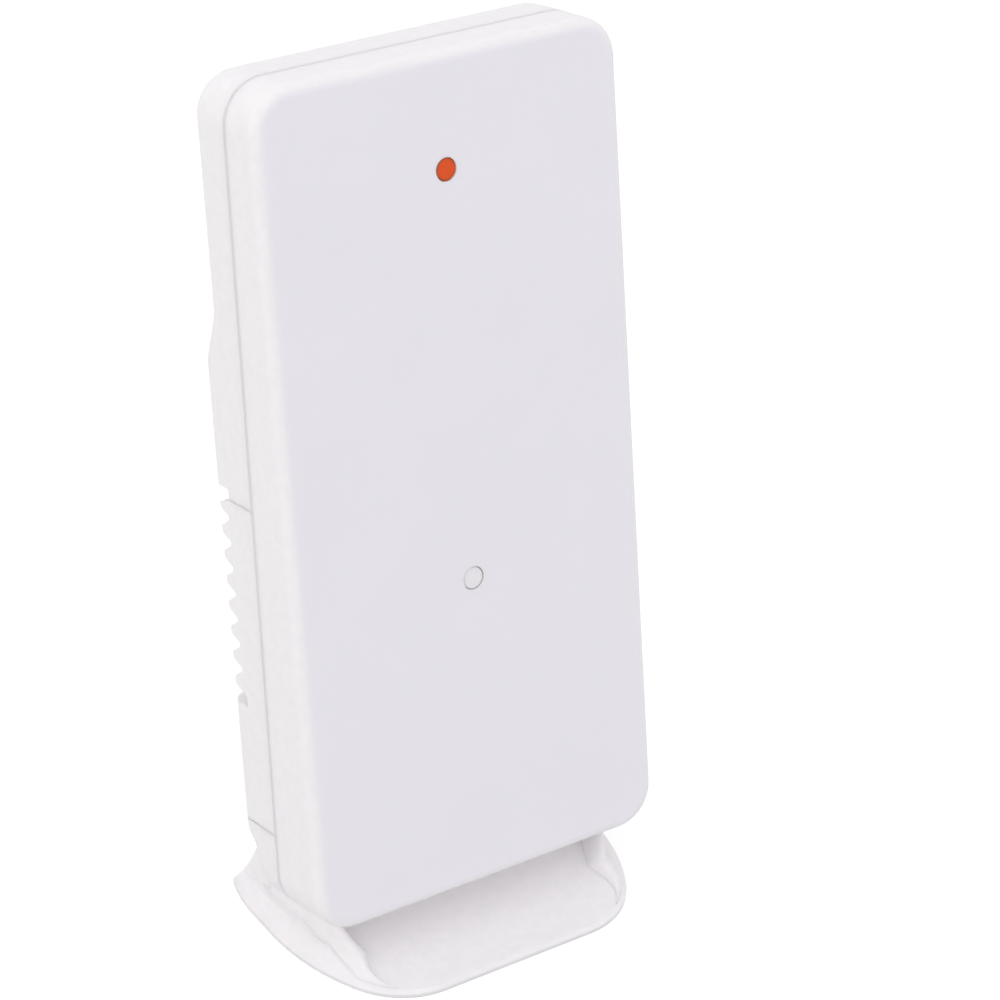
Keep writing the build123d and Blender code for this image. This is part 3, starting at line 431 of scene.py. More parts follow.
points, faces = [], []
for corner in range(4):
    middle_x = (LIP_HALF - HOUSING_CORNER) * (1 if corner in (0, 3) else -1)
    middle_height = LIP_HIGH - HOUSING_CORNER if corner in (0, 1) else LIP_LOW + HOUSING_CORNER
    for part in range(LIP_ROUND + 1):
        angle = pi / 2 * (corner + part / LIP_ROUND)
        for inset, behind in ((LIP_DEPTH, -LIP_OVERLAP), (LIP_DEPTH, SEAM_GAP + LIP_OVERLAP),
                              (LIP_DEPTH + LIP_BODY, SEAM_GAP + LIP_OVERLAP),
                              (LIP_DEPTH + LIP_BODY, -LIP_OVERLAP)):
            x = middle_x + (HOUSING_CORNER - inset) * cos(angle)
            height = middle_height + (HOUSING_CORNER - inset) * sin(angle)
            points.append(housing_point(x, SEAM_LOW - SEAM_FALL * height + behind, height))
rings = 4 * (LIP_ROUND + 1)
for ring in range(rings):
    for place in range(4):
        a, b = 4 * ring, 4 * ((ring + 1) % rings)
        faces.append((a + place, a + (place + 1) % 4, b + (place + 1) % 4, b + place))
finish_piece("parting_lip", points, faces, satin_abs)

# Test button
# Small cap of the same white ABS with a satin face, held behind the front wall by its flange and
# pressed by a finger or a pen against the switch on the board.
button_abs, tree, shader = new_material("satin_abs_of_button", **WHITE_ABS)
grain(tree, shader, "f1f0f1", "edecee", 0.40, 0.003, grain_size=0.5)
dress("test_button", button_abs)

# Signal lamp
# Round 3 mm lamp of tinted clear epoxy, cast in one with its flange and glued by its two leads.
# The rim is darker all round: painted shade, where the edge of the hole shades the lamp.
LAMP_HEIGHT = 104.0
LAMP_SEAT = 5.4
LAMP_OUTLINE = ((1.90, 0.0), (1.90, 0.92), (1.82, 1.0), (1.58, 1.0), (1.58, 5.06), (1.55, 5.18),
                (1.46, 5.25), (1.20, 5.29), (0.70, 5.31), (0.20, 5.315))
LAMP_RIM_START = 1.0
LAMP_RIM_END = 1.6
LAMP_SWIRL = 0.8


def add_turned(points, faces, profile, x, depth, height, forwards=False, parts=20):
    """Rings of given radius and reach round an axis that points out of the board."""
    first = len(points)
    way = -1 if forwards else 1
    for radius, reach in profile:
        for part in range(parts):
            angle = 2 * pi * part / parts
            points.append(housing_point(x + radius * cos(angle), depth + way * reach,
                                        height + radius * sin(angle)))
    for ring in range(len(profile) - 1):
        for part in range(parts):
            a, b = first + ring * parts + part, first + ring * parts + (part + 1) % parts
            face = (a, b, b + parts, a + parts)
            faces.append(face if forwards else face[::-1])
    top = tuple(first + (len(profile) - 1) * parts + part for part in range(parts))
    faces.append(top if forwards else top[::-1])


def from_axis(tree, first, second):
    """Distance from an axis, by the places along the two others."""
    flat = add_node(tree, "CombineXYZ", {"X": first, "Y": second})
    return add_node(tree, "VectorMath", {0: flat.outputs["Vector"]}, operation="LENGTH")


tinted_epoxy, tree, shader = new_material(
    "tinted_epoxy", IOR=1.55, Roughness=0.35, Specular_IOR_Level=0.2)
lamp_place = housing_places(tree, 0.0, 0.0, LAMP_HEIGHT)
lamp_axes = add_node(tree, "SeparateXYZ", {"Vector": lamp_place.outputs["Vector"]})
lamp_radius = from_axis(tree, lamp_axes.outputs["X"], lamp_axes.outputs["Z"])
# Painted shade: the colour darkens towards the rim of the lamp.
rim = add_node(tree, "MapRange", {
    "Value": lamp_radius.outputs["Value"], "From Min": LAMP_RIM_START * MM,
    "From Max": LAMP_RIM_END * MM}, interpolation_type="SMOOTHSTEP")
swirl = add_node(tree, "TexNoise", {"Vector": lamp_place.outputs["Vector"],
                                    "Scale": 1 / (LAMP_SWIRL * MM)})
middle_tone = add_node(tree, "Mix", {0: swirl.outputs["Fac"], 6: linear("dd501c"),
                                     7: linear("e85a20")}, data_type="RGBA")
epoxy_colour = add_node(tree, "Mix", {0: rim.outputs["Result"], 6: middle_tone.outputs[2],
                                      7: linear("c0551f")}, data_type="RGBA")
feed(tree, shader, Base_Color=epoxy_colour.outputs[2])
points, faces = [], []
add_turned(points, faces, LAMP_OUTLINE, 0.0, LAMP_SEAT, LAMP_HEIGHT, forwards=True, parts=48)
lamp = finish_piece("lamp_lens", points, faces, tinted_epoxy, sharp=50.0)
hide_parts("led")


def cloud(tree, shader, tones, size, gloss, detail=2.0, roughness=0.5, relief=0.0, vector=None):
    """Two close tones and two glosses in clouds of one size, as worked metal has them."""
    if vector is None:
        vector = add_node(tree, "TexCoord").outputs["Object"]
    clouds = add_node(tree, "TexNoise", {"Vector": vector, "Scale": 1 / (size * MM),
                                         "Detail": detail, "Roughness": roughness})
    colour = add_node(tree, "Mix", {0: clouds.outputs["Fac"], 6: linear(tones[0]),
                                    7: linear(tones[1])}, data_type="RGBA")
    rough = add_node(tree, "MapRange", {"Value": clouds.outputs["Fac"], "To Min": gloss[0],
                                        "To Max": gloss[1]})
    feed(tree, shader, Base_Color=colour.outputs[2], Roughness=rough.outputs["Result"])
    if relief:
        bump = add_node(tree, "Bump", {"Strength": 1.0, "Distance": relief * MM,
                                       "Height": clouds.outputs["Fac"]})
        feed(tree, shader, Normal=bump.outputs["Normal"])


# Tinned wire: a dull bright grey with drawn lines that the eye reads as soft metal.
tinned_wire, tree, shader = new_material("tinned_wire", Metallic=1.0)
cloud(tree, shader, ("c3c4c3", "dcdcda"), 0.25, (0.26, 0.42), detail=3.0)
dress("led_leads", tinned_wire)

# Circuit board
# Glass-fibre board, 1.2 mm thick, etched and coated with green solder mask. Copper tracks show as
# lighter green lines under the mask, its sawn edges are bare yellow fibre, pads are gold-plated.
BOARD_FRONT = 5.4
BOARD_BACK = 6.6
BOARD_STEP = 64.9
BOARD_BOTTOM = 37.0
COPPER = 0.035
WEAVE = 5.0
WEAVE_RELIEF = 0.006
FIBRE = 0.2
EDGE_START = 0.56
EDGE_END = 0.58
TRACK_WIDTH = 0.35
POWER_TRACK_WIDTH = 0.9
MODULE_LEFT = 3.5
MODULE_RIGHT = 20.5
TAB_X = 15.25
BUTTON_HEIGHT = 46.0
SIGNAL_TRACKS = (
    ((-1.27, 104.0), (-1.27, 100.6), (-4.2, 97.2), (-8.2, 91.6)),
    ((1.27, 104.0), (1.27, 98.2), (-2.6, 94.6), (-2.6, 93.0)),
    ((-5.4, 87.0), (-2.4, 87.0)),
    ((-5.6, 88.6), (-4.2, 90.0), (-2.4, 90.0)),
    ((-6.2, 90.2), (-3.4, 93.0), (-2.4, 93.0)),
    ((-5.5, 85.4), (-4.1, 84.0), (-2.4, 84.0)),
    ((-6.4, 82.6), (-4.8, 81.0), (-2.4, 81.0)),
    *(((-0.6, row), (0.6, row)) for row in (81.0, 84.0, 87.0, 90.0, 93.0)),
    *(((2.4, row), (MODULE_LEFT, row)) for row in (84.0, 87.0, 90.0)),
    ((-7.4, 75.4), (-6.2, 76.6), (-7.9, 80.9)),
    ((-7.4, 74.6), (-4.8, 76.4), (-6.6, 81.6)),
    ((-2.5, 48.3), (-4.2, 50.4), (-6.0, 53.0), (-6.0, 66.5), (-9.6, 72.0), (-9.6, 80.2)),
    ((-2.5, 43.7), (-5.2, 46.6), (-6.8, 49.0), (-6.8, 66.7), (-10.6, 72.4), (-10.6, 80.0)),
    ((0.9, 43.0), (3.4, 45.6), (5.4, 49.4), (5.4, 60.2), (4.9, 61.9)),
    ((3.1, 61.9), (0.4, 64.8), (0.4, 78.4), (-2.0, 79.6), (-5.2, 82.0)),
    ((-3.1, 61.9), (-0.6, 64.6), (-0.6, 77.0), (-5.6, 80.2)),
    ((-17.0, 86.0), (-20.4, 86.0), (-21.4, 87.0), (-21.4, 96.0), (-19.6, 98.0)),
)
POWER_TRACKS = (
    ((TAB_X, 66.4), (16.8, 68.0), (16.8, 76.5), (15.0, 78.5), (15.0, 80.5)),
    ((11.0, 67.4), (8.4, 70.0), (8.4, 78.0), (6.4, 80.5)),
    ((-TAB_X, 66.4), (-18.4, 69.6), (-18.4, 82.0), (-16.6, 83.8)),
    ((13.0, 67.4), (10.2, 65.9), (-12.4, 65.9)),
)


def add_strip(points, faces, line, width, low, high):
    """Flat strip along a line on the board, from one depth to another, with mitred corners."""
    line = [Vector(place) for place in line]
    first = len(points)
    for step, place in enumerate(line):
        ways = [(line[b] - line[a]).normalized() for a, b in ((step - 1, step), (step, step + 1))
                if a >= 0 and b < len(line)]
        way = sum(ways, Vector((0, 0))).normalized()
        out = Vector((-way.y, way.x)) * width / 2 / max(0.5, way.dot(ways[0]))
        if step == 0:
            place = place - way * width / 2
        if step == len(line) - 1:
            place = place + way * width / 2
        for side in (out, -out):
            for depth in (low, high):
                points.append(housing_point(place.x + side.x, depth, place.y + side.y))
    for step in range(len(line) - 1):
        a, b = first + 4 * step, first + 4 * step + 4
        faces += [(a + 1, a + 3, b + 3, b + 1), (a, a + 1, b + 1, b), (a + 2, b + 2, b + 3, a + 3)]
    last = first + 4 * (len(line) - 1)
    faces += [(first, first + 2, first + 3, first + 1), (last, last + 1, last + 3, last + 2)]


# Solder mask over glass fibre: glossy green lacquer, with the weave of the cloth just visible.
solder_mask, tree, shader = new_material("solder_mask_on_glass_fibre", IOR=1.5, Coat_Weight=0.5,
                                         Coat_Roughness=0.12)
board_place = housing_places(tree, 0.0, (BOARD_FRONT + BOARD_BACK) / 2, BOARD_STEP)
board_axes = add_node(tree, "SeparateXYZ", {"Vector": board_place.outputs["Vector"]})
weave_up, weave_across = [
    add_node(tree, "TexWave", {"Vector": board_place.outputs["Vector"], "Scale": 1 / (WEAVE * MM),
                               "Distortion": 0.6}, bands_direction=way) for way in ("Z", "X")]
weave = add_node(tree, "Math", {0: weave_up.outputs["Fac"], 1: weave_across.outputs["Fac"]},
                 operation="MULTIPLY")
mask_colour = add_node(tree, "Mix", {0: weave.outputs[0], 6: linear("17582f"),
                                     7: linear("1e6839")}, data_type="RGBA")
from_middle = add_node(tree, "Math", {0: board_axes.outputs["Y"]}, operation="ABSOLUTE")
is_edge = add_node(tree, "MapRange", {
    "Value": from_middle.outputs[0], "From Min": EDGE_START * MM, "From Max": EDGE_END * MM,
    "To Min": 1.0, "To Max": 0.0})
fibre = add_node(tree, "TexNoise", {"Vector": board_place.outputs["Vector"],
                                    "Scale": 1 / (FIBRE * MM)})
fibre_colour = add_node(tree, "Mix", {0: fibre.outputs["Fac"], 6: linear("a9a06a"),
                                      7: linear("c9c08c")}, data_type="RGBA")
board_colour = add_node(tree, "Mix", {0: is_edge.outputs["Result"], 6: mask_colour.outputs[2],
                                      7: fibre_colour.outputs[2]}, data_type="RGBA")
board_rough = add_node(tree, "MapRange", {"Value": is_edge.outputs["Result"], "To Min": 0.28,
                                          "To Max": 0.8})
board_bump = add_node(tree, "Bump", {"Strength": 1.0, "Distance": WEAVE_RELIEF * MM,
                                     "Height": weave.outputs[0]})
feed(tree, shader, Base_Color=board_colour.outputs[2], Roughness=board_rough.outputs["Result"],
     Normal=board_bump.outputs["Normal"])
dress("circuit_board", solder_mask)

# Masked copper: the same lacquer over shiny metal, so the tracks look paler and warmer.
masked_copper, tree, shader = new_material("masked_copper", IOR=1.5, Metallic=0.35,
                                           Coat_Weight=0.5, Coat_Roughness=0.12)
cloud(tree, shader, ("2c8246", "3c9655"), 0.6, (0.24, 0.34))
points, faces = [], []
for width, lines in ((TRACK_WIDTH, SIGNAL_TRACKS), (POWER_TRACK_WIDTH, POWER_TRACKS)):
    for line in lines:
        add_strip(points, faces, line, width, BOARD_BACK, BOARD_BACK + COPPER)
finish_piece("board_tracks", points, faces, masked_copper)

# Gold pads: a thin flash of gold over nickel on each bare pad, satin and pale yellow.
gold_flash, tree, shader = new_material("gold_flash_on_nickel", Metallic=1.0)
cloud(tree, shader, ("d3b05a", "e6c877"), 0.3, (0.22, 0.36))
PAD_PLACES = ((-20.0, 72.0), (-20.0, 74.5), (-20.0, 77.0), (-20.0, 79.5), (20.5, 72.0),
              (20.5, 74.5), (3.5, 71.0), (3.5, 73.5), (-3.5, 70.0), (2.6, 56.0), (-2.6, 56.0))
PAD_OUTLINE = ((0.6, 0.0), (0.6, COPPER), (0.55, COPPER + 0.01))
points, faces = [], []
for pad_x, pad_height in PAD_PLACES:
    add_turned(points, faces, PAD_OUTLINE, pad_x, BOARD_BACK, pad_height)
finish_piece("test_pads", points, faces, gold_flash)

# Soldered joints
# Tin alloy that has wetted pad and lead and drawn itself up in a hollow cone; bright, faintly
# rippled, with a slight dullness where it set last.
SOLDER_CONE = ((0.85, 0.0), (0.80, 0.12), (0.62, 0.34), (0.45, 0.66), (0.34, 0.95), (0.27, 1.05))
SOLDER_MOUND = ((1.35, 0.0), (1.30, 0.22), (1.10, 0.50), (0.75, 0.72), (0.35, 0.82))
SMALL_MOUND = [(0.55 * radius, 0.7 * reach) for radius, reach in SOLDER_MOUND]
LEG_X = 2.5
LEG_HEIGHT = 2.3
TAB_JOINT_HEIGHT = 66.6
BEAD_LEAD_X = 0.8
BEAD_JOINT_HEIGHT = BOARD_BOTTOM + 0.8
CRYSTAL_LEAD_X = -7.4
CRYSTAL_LEAD_HEIGHTS = (75.4, 74.4)
CAPACITOR_LEAD_X = (11.0, 13.0)
CAPACITOR_LEAD_HEIGHT = 67.4
CONE_PLACES = [(-1.27, LAMP_HEIGHT), (1.27, LAMP_HEIGHT)]
CONE_PLACES += [(x, BUTTON_HEIGHT + up) for up in (LEG_HEIGHT, -LEG_HEIGHT)
                for x in (-LEG_X, LEG_X)]
CONE_PLACES += [(CRYSTAL_LEAD_X, height) for height in CRYSTAL_LEAD_HEIGHTS]
CONE_PLACES += [(x, CAPACITOR_LEAD_HEIGHT) for x in CAPACITOR_LEAD_X]
bright_solder, tree, shader = new_material("tin_solder", Metallic=1.0)
cloud(tree, shader, ("bfc1c3", "dfe0e0"), 0.5, (0.14, 0.34), relief=0.03)
points, faces = [], []
for joint_x, joint_height in CONE_PLACES:
    add_turned(points, faces, SOLDER_CONE, joint_x, BOARD_BACK, joint_height)
for joint_x in (-TAB_X, TAB_X):
    add_turned(points, faces, SOLDER_MOUND, joint_x, BOARD_BACK, TAB_JOINT_HEIGHT)
for joint_x in (-BEAD_LEAD_X, BEAD_LEAD_X):
    add_turned(points, faces, SMALL_MOUND, joint_x, BOARD_FRONT, BEAD_JOINT_HEIGHT, forwards=True)
finish_piece("solder_joints", points, faces, bright_solder)

# Push switch behind the test button
# Black glass-filled nylon body with a sprung plunger of acetal, closed by a stainless plate that
# four hot-pressed pips hold. It is soldered to the board by four short legs.
SWITCH_FRONT = 3.3
SWITCH_HALF = 3.0
COVER = 0.2
COVER_HOLE = 1.25
COVER_PARTS = 48
PIP_PLACE = 2.3
PIP_OUTLINE = ((0.42, 0.0), (0.40, 0.08), (0.28, 0.15), (0.1, 0.17))
ROLLING_STRETCH = (0.05, 1.0, 1.0)
filled_nylon, tree, shader = new_material("glass_filled_nylon", IOR=1.53)
grain(tree, shader, "26262a", "19191b", 0.5, 0.010, grain_size=0.25, mottle_size=0.6)
dress("tact_switch", filled_nylon)
acetal, tree, shader = new_material("black_acetal", IOR=1.48)
grain(tree, shader, "1b1b1d", "141415", 0.30, 0.002, grain_size=0.3, mottle_size=0.8)
dress("switch_plunger", acetal)
# Stainless sheet: grey with rolling lines two tenths of a millimetre apart, all one way.
rolled_steel, tree, shader = new_material("rolled_stainless_steel", Metallic=1.0)
steel_place = add_node(tree, "TexCoord")
stretched = add_node(tree, "Mapping", {"Vector": steel_place.outputs["Object"],
                                       "Scale": ROLLING_STRETCH})
cloud(tree, shader, ("b3b3b0", "c6c6c3"), 0.2, (0.24, 0.40), detail=3.0, relief=0.002,
      vector=stretched.outputs["Vector"])
points, faces = [], []
for depth, inner in ((SWITCH_FRONT, True), (SWITCH_FRONT - COVER, True),
                     (SWITCH_FRONT - COVER, False), (SWITCH_FRONT, False)):
    for part in range(COVER_PARTS):
        angle = 2 * pi * (part + 0.5) / COVER_PARTS
        to_side = (SWITCH_HALF - 0.1) / max(abs(cos(angle)), abs(sin(angle)))
        radius = COVER_HOLE if inner else to_side
        points.append(housing_point(radius * cos(angle), depth,
                                    BUTTON_HEIGHT + radius * sin(angle)))
for ring in range(3):
    for part in range(COVER_PARTS):
        a, b = ring * COVER_PARTS + part, ring * COVER_PARTS + (part + 1) % COVER_PARTS
        faces.append((a, a + COVER_PARTS, b + COVER_PARTS, b))
finish_piece("switch_cover", points, faces, rolled_steel)
points, faces = [], []
for pip_x in (-PIP_PLACE, PIP_PLACE):
    for pip_height in (BUTTON_HEIGHT - PIP_PLACE, BUTTON_HEIGHT + PIP_PLACE):
        add_turned(points, faces, PIP_OUTLINE, pip_x, SWITCH_FRONT - COVER, pip_height,
                   forwards=True, parts=16)
finish_piece("switch_pips", points, faces, filled_nylon)

# Controller chip
# Bare chip bonded to the board and covered with a drop of black potting epoxy that ran out to a
# low dome and cured; half gloss, with the slow unevenness of a poured surface.
potting_epoxy, tree, shader = new_material("potting_epoxy", IOR=1.55)
grain(tree, shader, "1a1a1b", "111112", 0.32, 0.05, grain_size=2.2, mottle_size=3.0)
dress("chip_glob_top", potting_epoxy)

# Radio module
# Small board of its own with blue solder mask, soldered by its plated half-round edge contacts;
# its circuits sit under a tinned steel can with soft pressed corners.
EDGE_CONTACTS = 8
EDGE_CONTACT_LOW = 82.1
EDGE_CONTACT_PITCH = 1.4
EDGE_CONTACT_RUN = 0.45
EDGE_CONTACT_WIDE = 0.8
EDGE_CONTACT_RISE = 0.75
blue_mask, tree, shader = new_material("blue_solder_mask", IOR=1.5, Coat_Weight=0.5,
                                       Coat_Roughness=0.12)
grain(tree, shader, "1a4a86", "123a6e", 0.30, 0.004, grain_size=0.8, mottle_size=1.2)
dress("radio_module", blue_mask)
# Tinned sheet: warm light grey, cloudy where the tin flowed, with fine handling marks.
tinned_sheet, tree, shader = new_material("tinned_steel_sheet", Metallic=1.0)
cloud(tree, shader, ("b2b2ad", "d2d2cd"), 2.5, (0.22, 0.46), detail=5.0, relief=0.010)
dress("radio_can", tinned_sheet)


def add_wedge(points, faces, x, height, run, width, rise):
    """Solder that has crept up the end of a part: a hollow ramp, run away from x, on the board."""
    first = len(points)
    for reach, lift in ((0.0, rise), (0.35 * run, 0.45 * rise), (run, 0.0)):
        for side in (-width / 2, width / 2):
            points.append(housing_point(x + reach, BOARD_BACK + lift, height + side))
    for side in (-width / 2, width / 2):
        points.append(housing_point(x, BOARD_BACK, height + side))
    a = first
    faces += [(a, a + 1, a + 3, a + 2), (a + 2, a + 3, a + 5, a + 4), (a + 6, a, a + 2, a + 4),
              (a + 7, a + 5, a + 3, a + 1), (a, a + 6, a + 7, a + 1)]


points, faces = [], []
for step in range(EDGE_CONTACTS):
    contact_height = EDGE_CONTACT_LOW + EDGE_CONTACT_PITCH * step
    for edge, run in ((MODULE_LEFT, -EDGE_CONTACT_RUN), (MODULE_RIGHT, EDGE_CONTACT_RUN)):
        add_wedge(points, faces, edge, contact_height, run, EDGE_CONTACT_WIDE, EDGE_CONTACT_RISE)
finish_piece("module_contacts", points, faces, bright_solder)

# Antenna
# Copper wire of 1 mm with a clear enamel, bent by hand round the top of the board and soldered
# to the radio module; warm, polished by the drawing die.
enamelled_copper, tree, shader = new_material("enamelled_copper", Metallic=1.0, Coat_Weight=0.8,
                                              Coat_Roughness=0.08)
cloud(tree, shader, ("b5673a", "cb7c4b"), 1.2, (0.18, 0.30))
dress("antenna_wire", enamelled_copper)

# Clock crystal and supply capacitor
# The crystal is a drawn, nickel-plated tube laid on the board; the capacitor is an aluminium can
# in a dark heat-shrunk sleeve with a light stripe at its negative lead. Both stand on two wires.
CRYSTAL_END = -9.0
CRYSTAL_AXIS = 7.6
CAPACITOR_X = 12.0
CAPACITOR_AXIS = 9.1
CAPACITOR_LOW = 69.0
CAPACITOR_HIGH = 77.0
VENT_RADIUS = 1.9
STRIPE_START = 1.7
SCORE_DEPTH = 0.12
SCORE_START = 0.05
SCORE_END = 0.15
SLEEVE_LIP = 0.05
SLEEVE_CLOUD = 1.0
nickel_tube, tree, shader = new_material("nickel_plated_tube", Metallic=1.0)
cloud(tree, shader, ("bdbab2", "d3d0c8"), 0.4, (0.16, 0.30), detail=3.0)
dress("crystal", nickel_tube)

# Shrunk sleeve: smooth dark film; its ends leave a ring of bare aluminium with a scored vent.
shrunk_sleeve, tree, shader = new_material("heat_shrunk_sleeve", IOR=1.5)
sleeve_place = housing_places(tree, CAPACITOR_X, CAPACITOR_AXIS, CAPACITOR_HIGH)
sleeve_axes = add_node(tree, "SeparateXYZ", {"Vector": sleeve_place.outputs["Vector"]})
sleeve_radius = from_axis(tree, sleeve_axes.outputs["X"], sleeve_axes.outputs["Y"])
near_top = add_node(tree, "Math", {0: sleeve_axes.outputs["Z"], 1: -SLEEVE_LIP * MM},
                    operation="GREATER_THAN")
inside_ring = add_node(tree, "Math", {0: sleeve_radius.outputs["Value"], 1: VENT_RADIUS * MM},
                       operation="LESS_THAN")
bare = add_node(tree, "Math", {0: near_top.outputs[0], 1: inside_ring.outputs[0]},
                operation="MULTIPLY")
stripe = add_node(tree, "Math", {0: sleeve_axes.outputs["X"], 1: STRIPE_START * MM},
                  operation="GREATER_THAN")
film_noise = add_node(tree, "TexNoise", {"Vector": sleeve_place.outputs["Vector"],
                                         "Scale": 1 / (SLEEVE_CLOUD * MM)})
film_dark = add_node(tree, "Mix", {0: film_noise.outputs["Fac"], 6: linear("1d2233"),
                                   7: linear("262c40")}, data_type="RGBA")
film_colour = add_node(tree, "Mix", {0: stripe.outputs[0], 6: film_dark.outputs[2],
                                     7: linear("b9bcc4")}, data_type="RGBA")
sleeve_colour = add_node(tree, "Mix", {0: bare.outputs[0], 6: film_colour.outputs[2],
                                       7: linear("cfd0d2")}, data_type="RGBA")
sleeve_rough = add_node(tree, "MapRange", {"Value": film_noise.outputs["Fac"], "To Min": 0.26,
                                           "To Max": 0.38})
score_x = add_node(tree, "Math", {0: sleeve_axes.outputs["X"]}, operation="ABSOLUTE")
score_y = add_node(tree, "Math", {0: sleeve_axes.outputs["Y"]}, operation="ABSOLUTE")
score = add_node(tree, "Math", {0: score_x.outputs[0], 1: score_y.outputs[0]}, operation="MINIMUM")
score_line = add_node(tree, "MapRange", {
    "Value": score.outputs[0], "From Min": SCORE_START * MM, "From Max": SCORE_END * MM})
sleeve_bump = add_node(tree, "Bump", {"Strength": bare.outputs[0], "Distance": SCORE_DEPTH * MM,
                                      "Height": score_line.outputs["Result"]})
feed(tree, shader, Base_Color=sleeve_colour.outputs[2], Metallic=bare.outputs[0],
     Roughness=sleeve_rough.outputs["Result"], Normal=sleeve_bump.outputs["Normal"])
dress("electrolytic_capacitor", shrunk_sleeve)

LEAD_RADIUS = 0.22
CRYSTAL_OUTLETS = (75.4, 74.6)
lead_wires = []
for number, outlet, height in zip((1, 2), CRYSTAL_OUTLETS, CRYSTAL_LEAD_HEIGHTS):
    lead_wires.append((f"crystal_lead_{number}", (
        (CRYSTAL_END, CRYSTAL_AXIS, outlet), (-8.2, CRYSTAL_AXIS, outlet),
        (CRYSTAL_LEAD_X, 7.5, height), (CRYSTAL_LEAD_X, BOARD_BACK, height))))
for number, lead_x in zip((1, 2), CAPACITOR_LEAD_X):
    lead_wires.append((f"capacitor_lead_{number}", (
        (lead_x, CAPACITOR_AXIS, CAPACITOR_LOW), (lead_x, CAPACITOR_AXIS, 68.0),
        (lead_x, 8.6, CAPACITOR_LEAD_HEIGHT), (lead_x, BOARD_BACK, CAPACITOR_LEAD_HEIGHT))))
for lead_name, route in lead_wires:
    lead_curve = bpy.data.curves.new(lead_name, "CURVE")
    lead_curve.dimensions = "3D"
    lead_curve.bevel_depth = LEAD_RADIUS * MM
    lead_curve.bevel_resolution = 4
    lead_curve.resolution_u = 8
    lead_line = lead_curve.splines.new("NURBS")
    lead_line.points.add(len(route) - 1)
    for point, place in zip(lead_line.points, route):
        point.co = (*housing_point(*place), 1.0)
    lead_line.order_u = 3
    lead_line.use_endpoint_u = True
    lead_curve.materials.append(tinned_wire)
    lead = new_object(lead_name, lead_curve)
    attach(lead, "housing")

# Chip resistors and ceramic capacitors
# Resistors are black-glazed alumina plates, capacitors plain brown sintered blocks. Both have
# tinned ends that the solder has crept up.
CHIP_HALF = 0.8
CHIP_THICK = 0.5
CHIP_WIDE = 0.8
CHIP_ROWS = (-1.5, 1.5)
CHIP_ROW_LOW = 81.0
CHIP_PITCH = 3.0
END_CAP = 0.25
END_HALF = 0.28
FILLET_RUN = 0.35
FILLET_RISE = 0.36
glazed_ceramic, tree, shader = new_material("glazed_ceramic", IOR=1.5)
grain(tree, shader, "1f1f21", "151516", 0.22, 0.002, grain_size=0.3, mottle_size=0.5)
dress("chip_resistors", glazed_ceramic)
sintered_ceramic, tree, shader = new_material("sintered_ceramic", IOR=1.6)
grain(tree, shader, "b59068", "a58058", 0.5, 0.006, grain_size=0.15, mottle_size=0.4)
dress("ceramic_capacitors", sintered_ceramic)
chip_places = [(row_x, CHIP_ROW_LOW + CHIP_PITCH * step)
               for row_x in CHIP_ROWS for step in range(5)]
chip_places += [(-4.0, BOARD_STEP - 3.0), (4.0, BOARD_STEP - 3.0), (0.0, BUTTON_HEIGHT + 6.0),
                (0.0, BUTTON_HEIGHT - 3.0)]
points, faces = [], []
for chip_x, chip_height in chip_places:
    for way in (-1, 1):
        end = chip_x + way * CHIP_HALF
        cap_x = end - way * END_CAP / 2
        add_wedge(points, faces, end + way * 0.02, chip_height, way * FILLET_RUN, CHIP_WIDE - 0.1,
                  FILLET_RISE)
        end_line = ((cap_x, chip_height - END_HALF), (cap_x, chip_height + END_HALF))
        add_strip(points, faces, end_line, END_CAP, BOARD_BACK, BOARD_BACK + CHIP_THICK + 0.02)
finish_piece("chip_ends", points, faces, bright_solder)

# Thermistor
# Bead of dipped black epoxy on two tinned wires below the board, near the foot of the housing,
# away from the warm parts; the dip leaves a smooth skin that hangs a little to one side.
dipped_epoxy, tree, shader = new_material("dipped_epoxy", IOR=1.55)
grain(tree, shader, "1c1b1b", "121111", 0.25, 0.02, grain_size=0.9, mottle_size=1.5)
dress("thermistor", dipped_epoxy)
dress("thermistor_leads", tinned_wire)

# Board screws
# Thread-forming steel screws, zinc-plated, with a domed cross-recessed head. They are driven
# forward through the board into the posts of the front shell, and cut their own thread there.
SHANK = 1.1
THREAD_RISE = 0.24
THREAD_PITCH = 0.9
SCREW_X = 19.0
# The two lower places ought to be one, in the middle: the solids have three board screws.
BOARD_SCREWS = ((-SCREW_X, 104.0), (SCREW_X, 104.0), (-SCREW_X, BOARD_STEP + 3.2),
                (SCREW_X, BOARD_STEP + 3.2))
BOARD_SCREW_LENGTH = 4.0
SCREW_HEAD = 0.8
SCREW_POINT = 0.4
THREAD_STEPS = 24
THREAD_RUN_IN = 12
THREAD_ROOT = 0.02
THREAD_HALF = 0.2
# Zinc plate: cool light grey, half bright, with tumbling marks of some hundredths of a millimetre.
zinc_plate, tree, shader = new_material("zinc_plated_steel", Metallic=1.0)
cloud(tree, shader, ("b4b7ba", "d4d6d8"), 0.3, (0.20, 0.42), detail=4.0, roughness=0.65,
      relief=0.006)
dress("board_screws", zinc_plate)


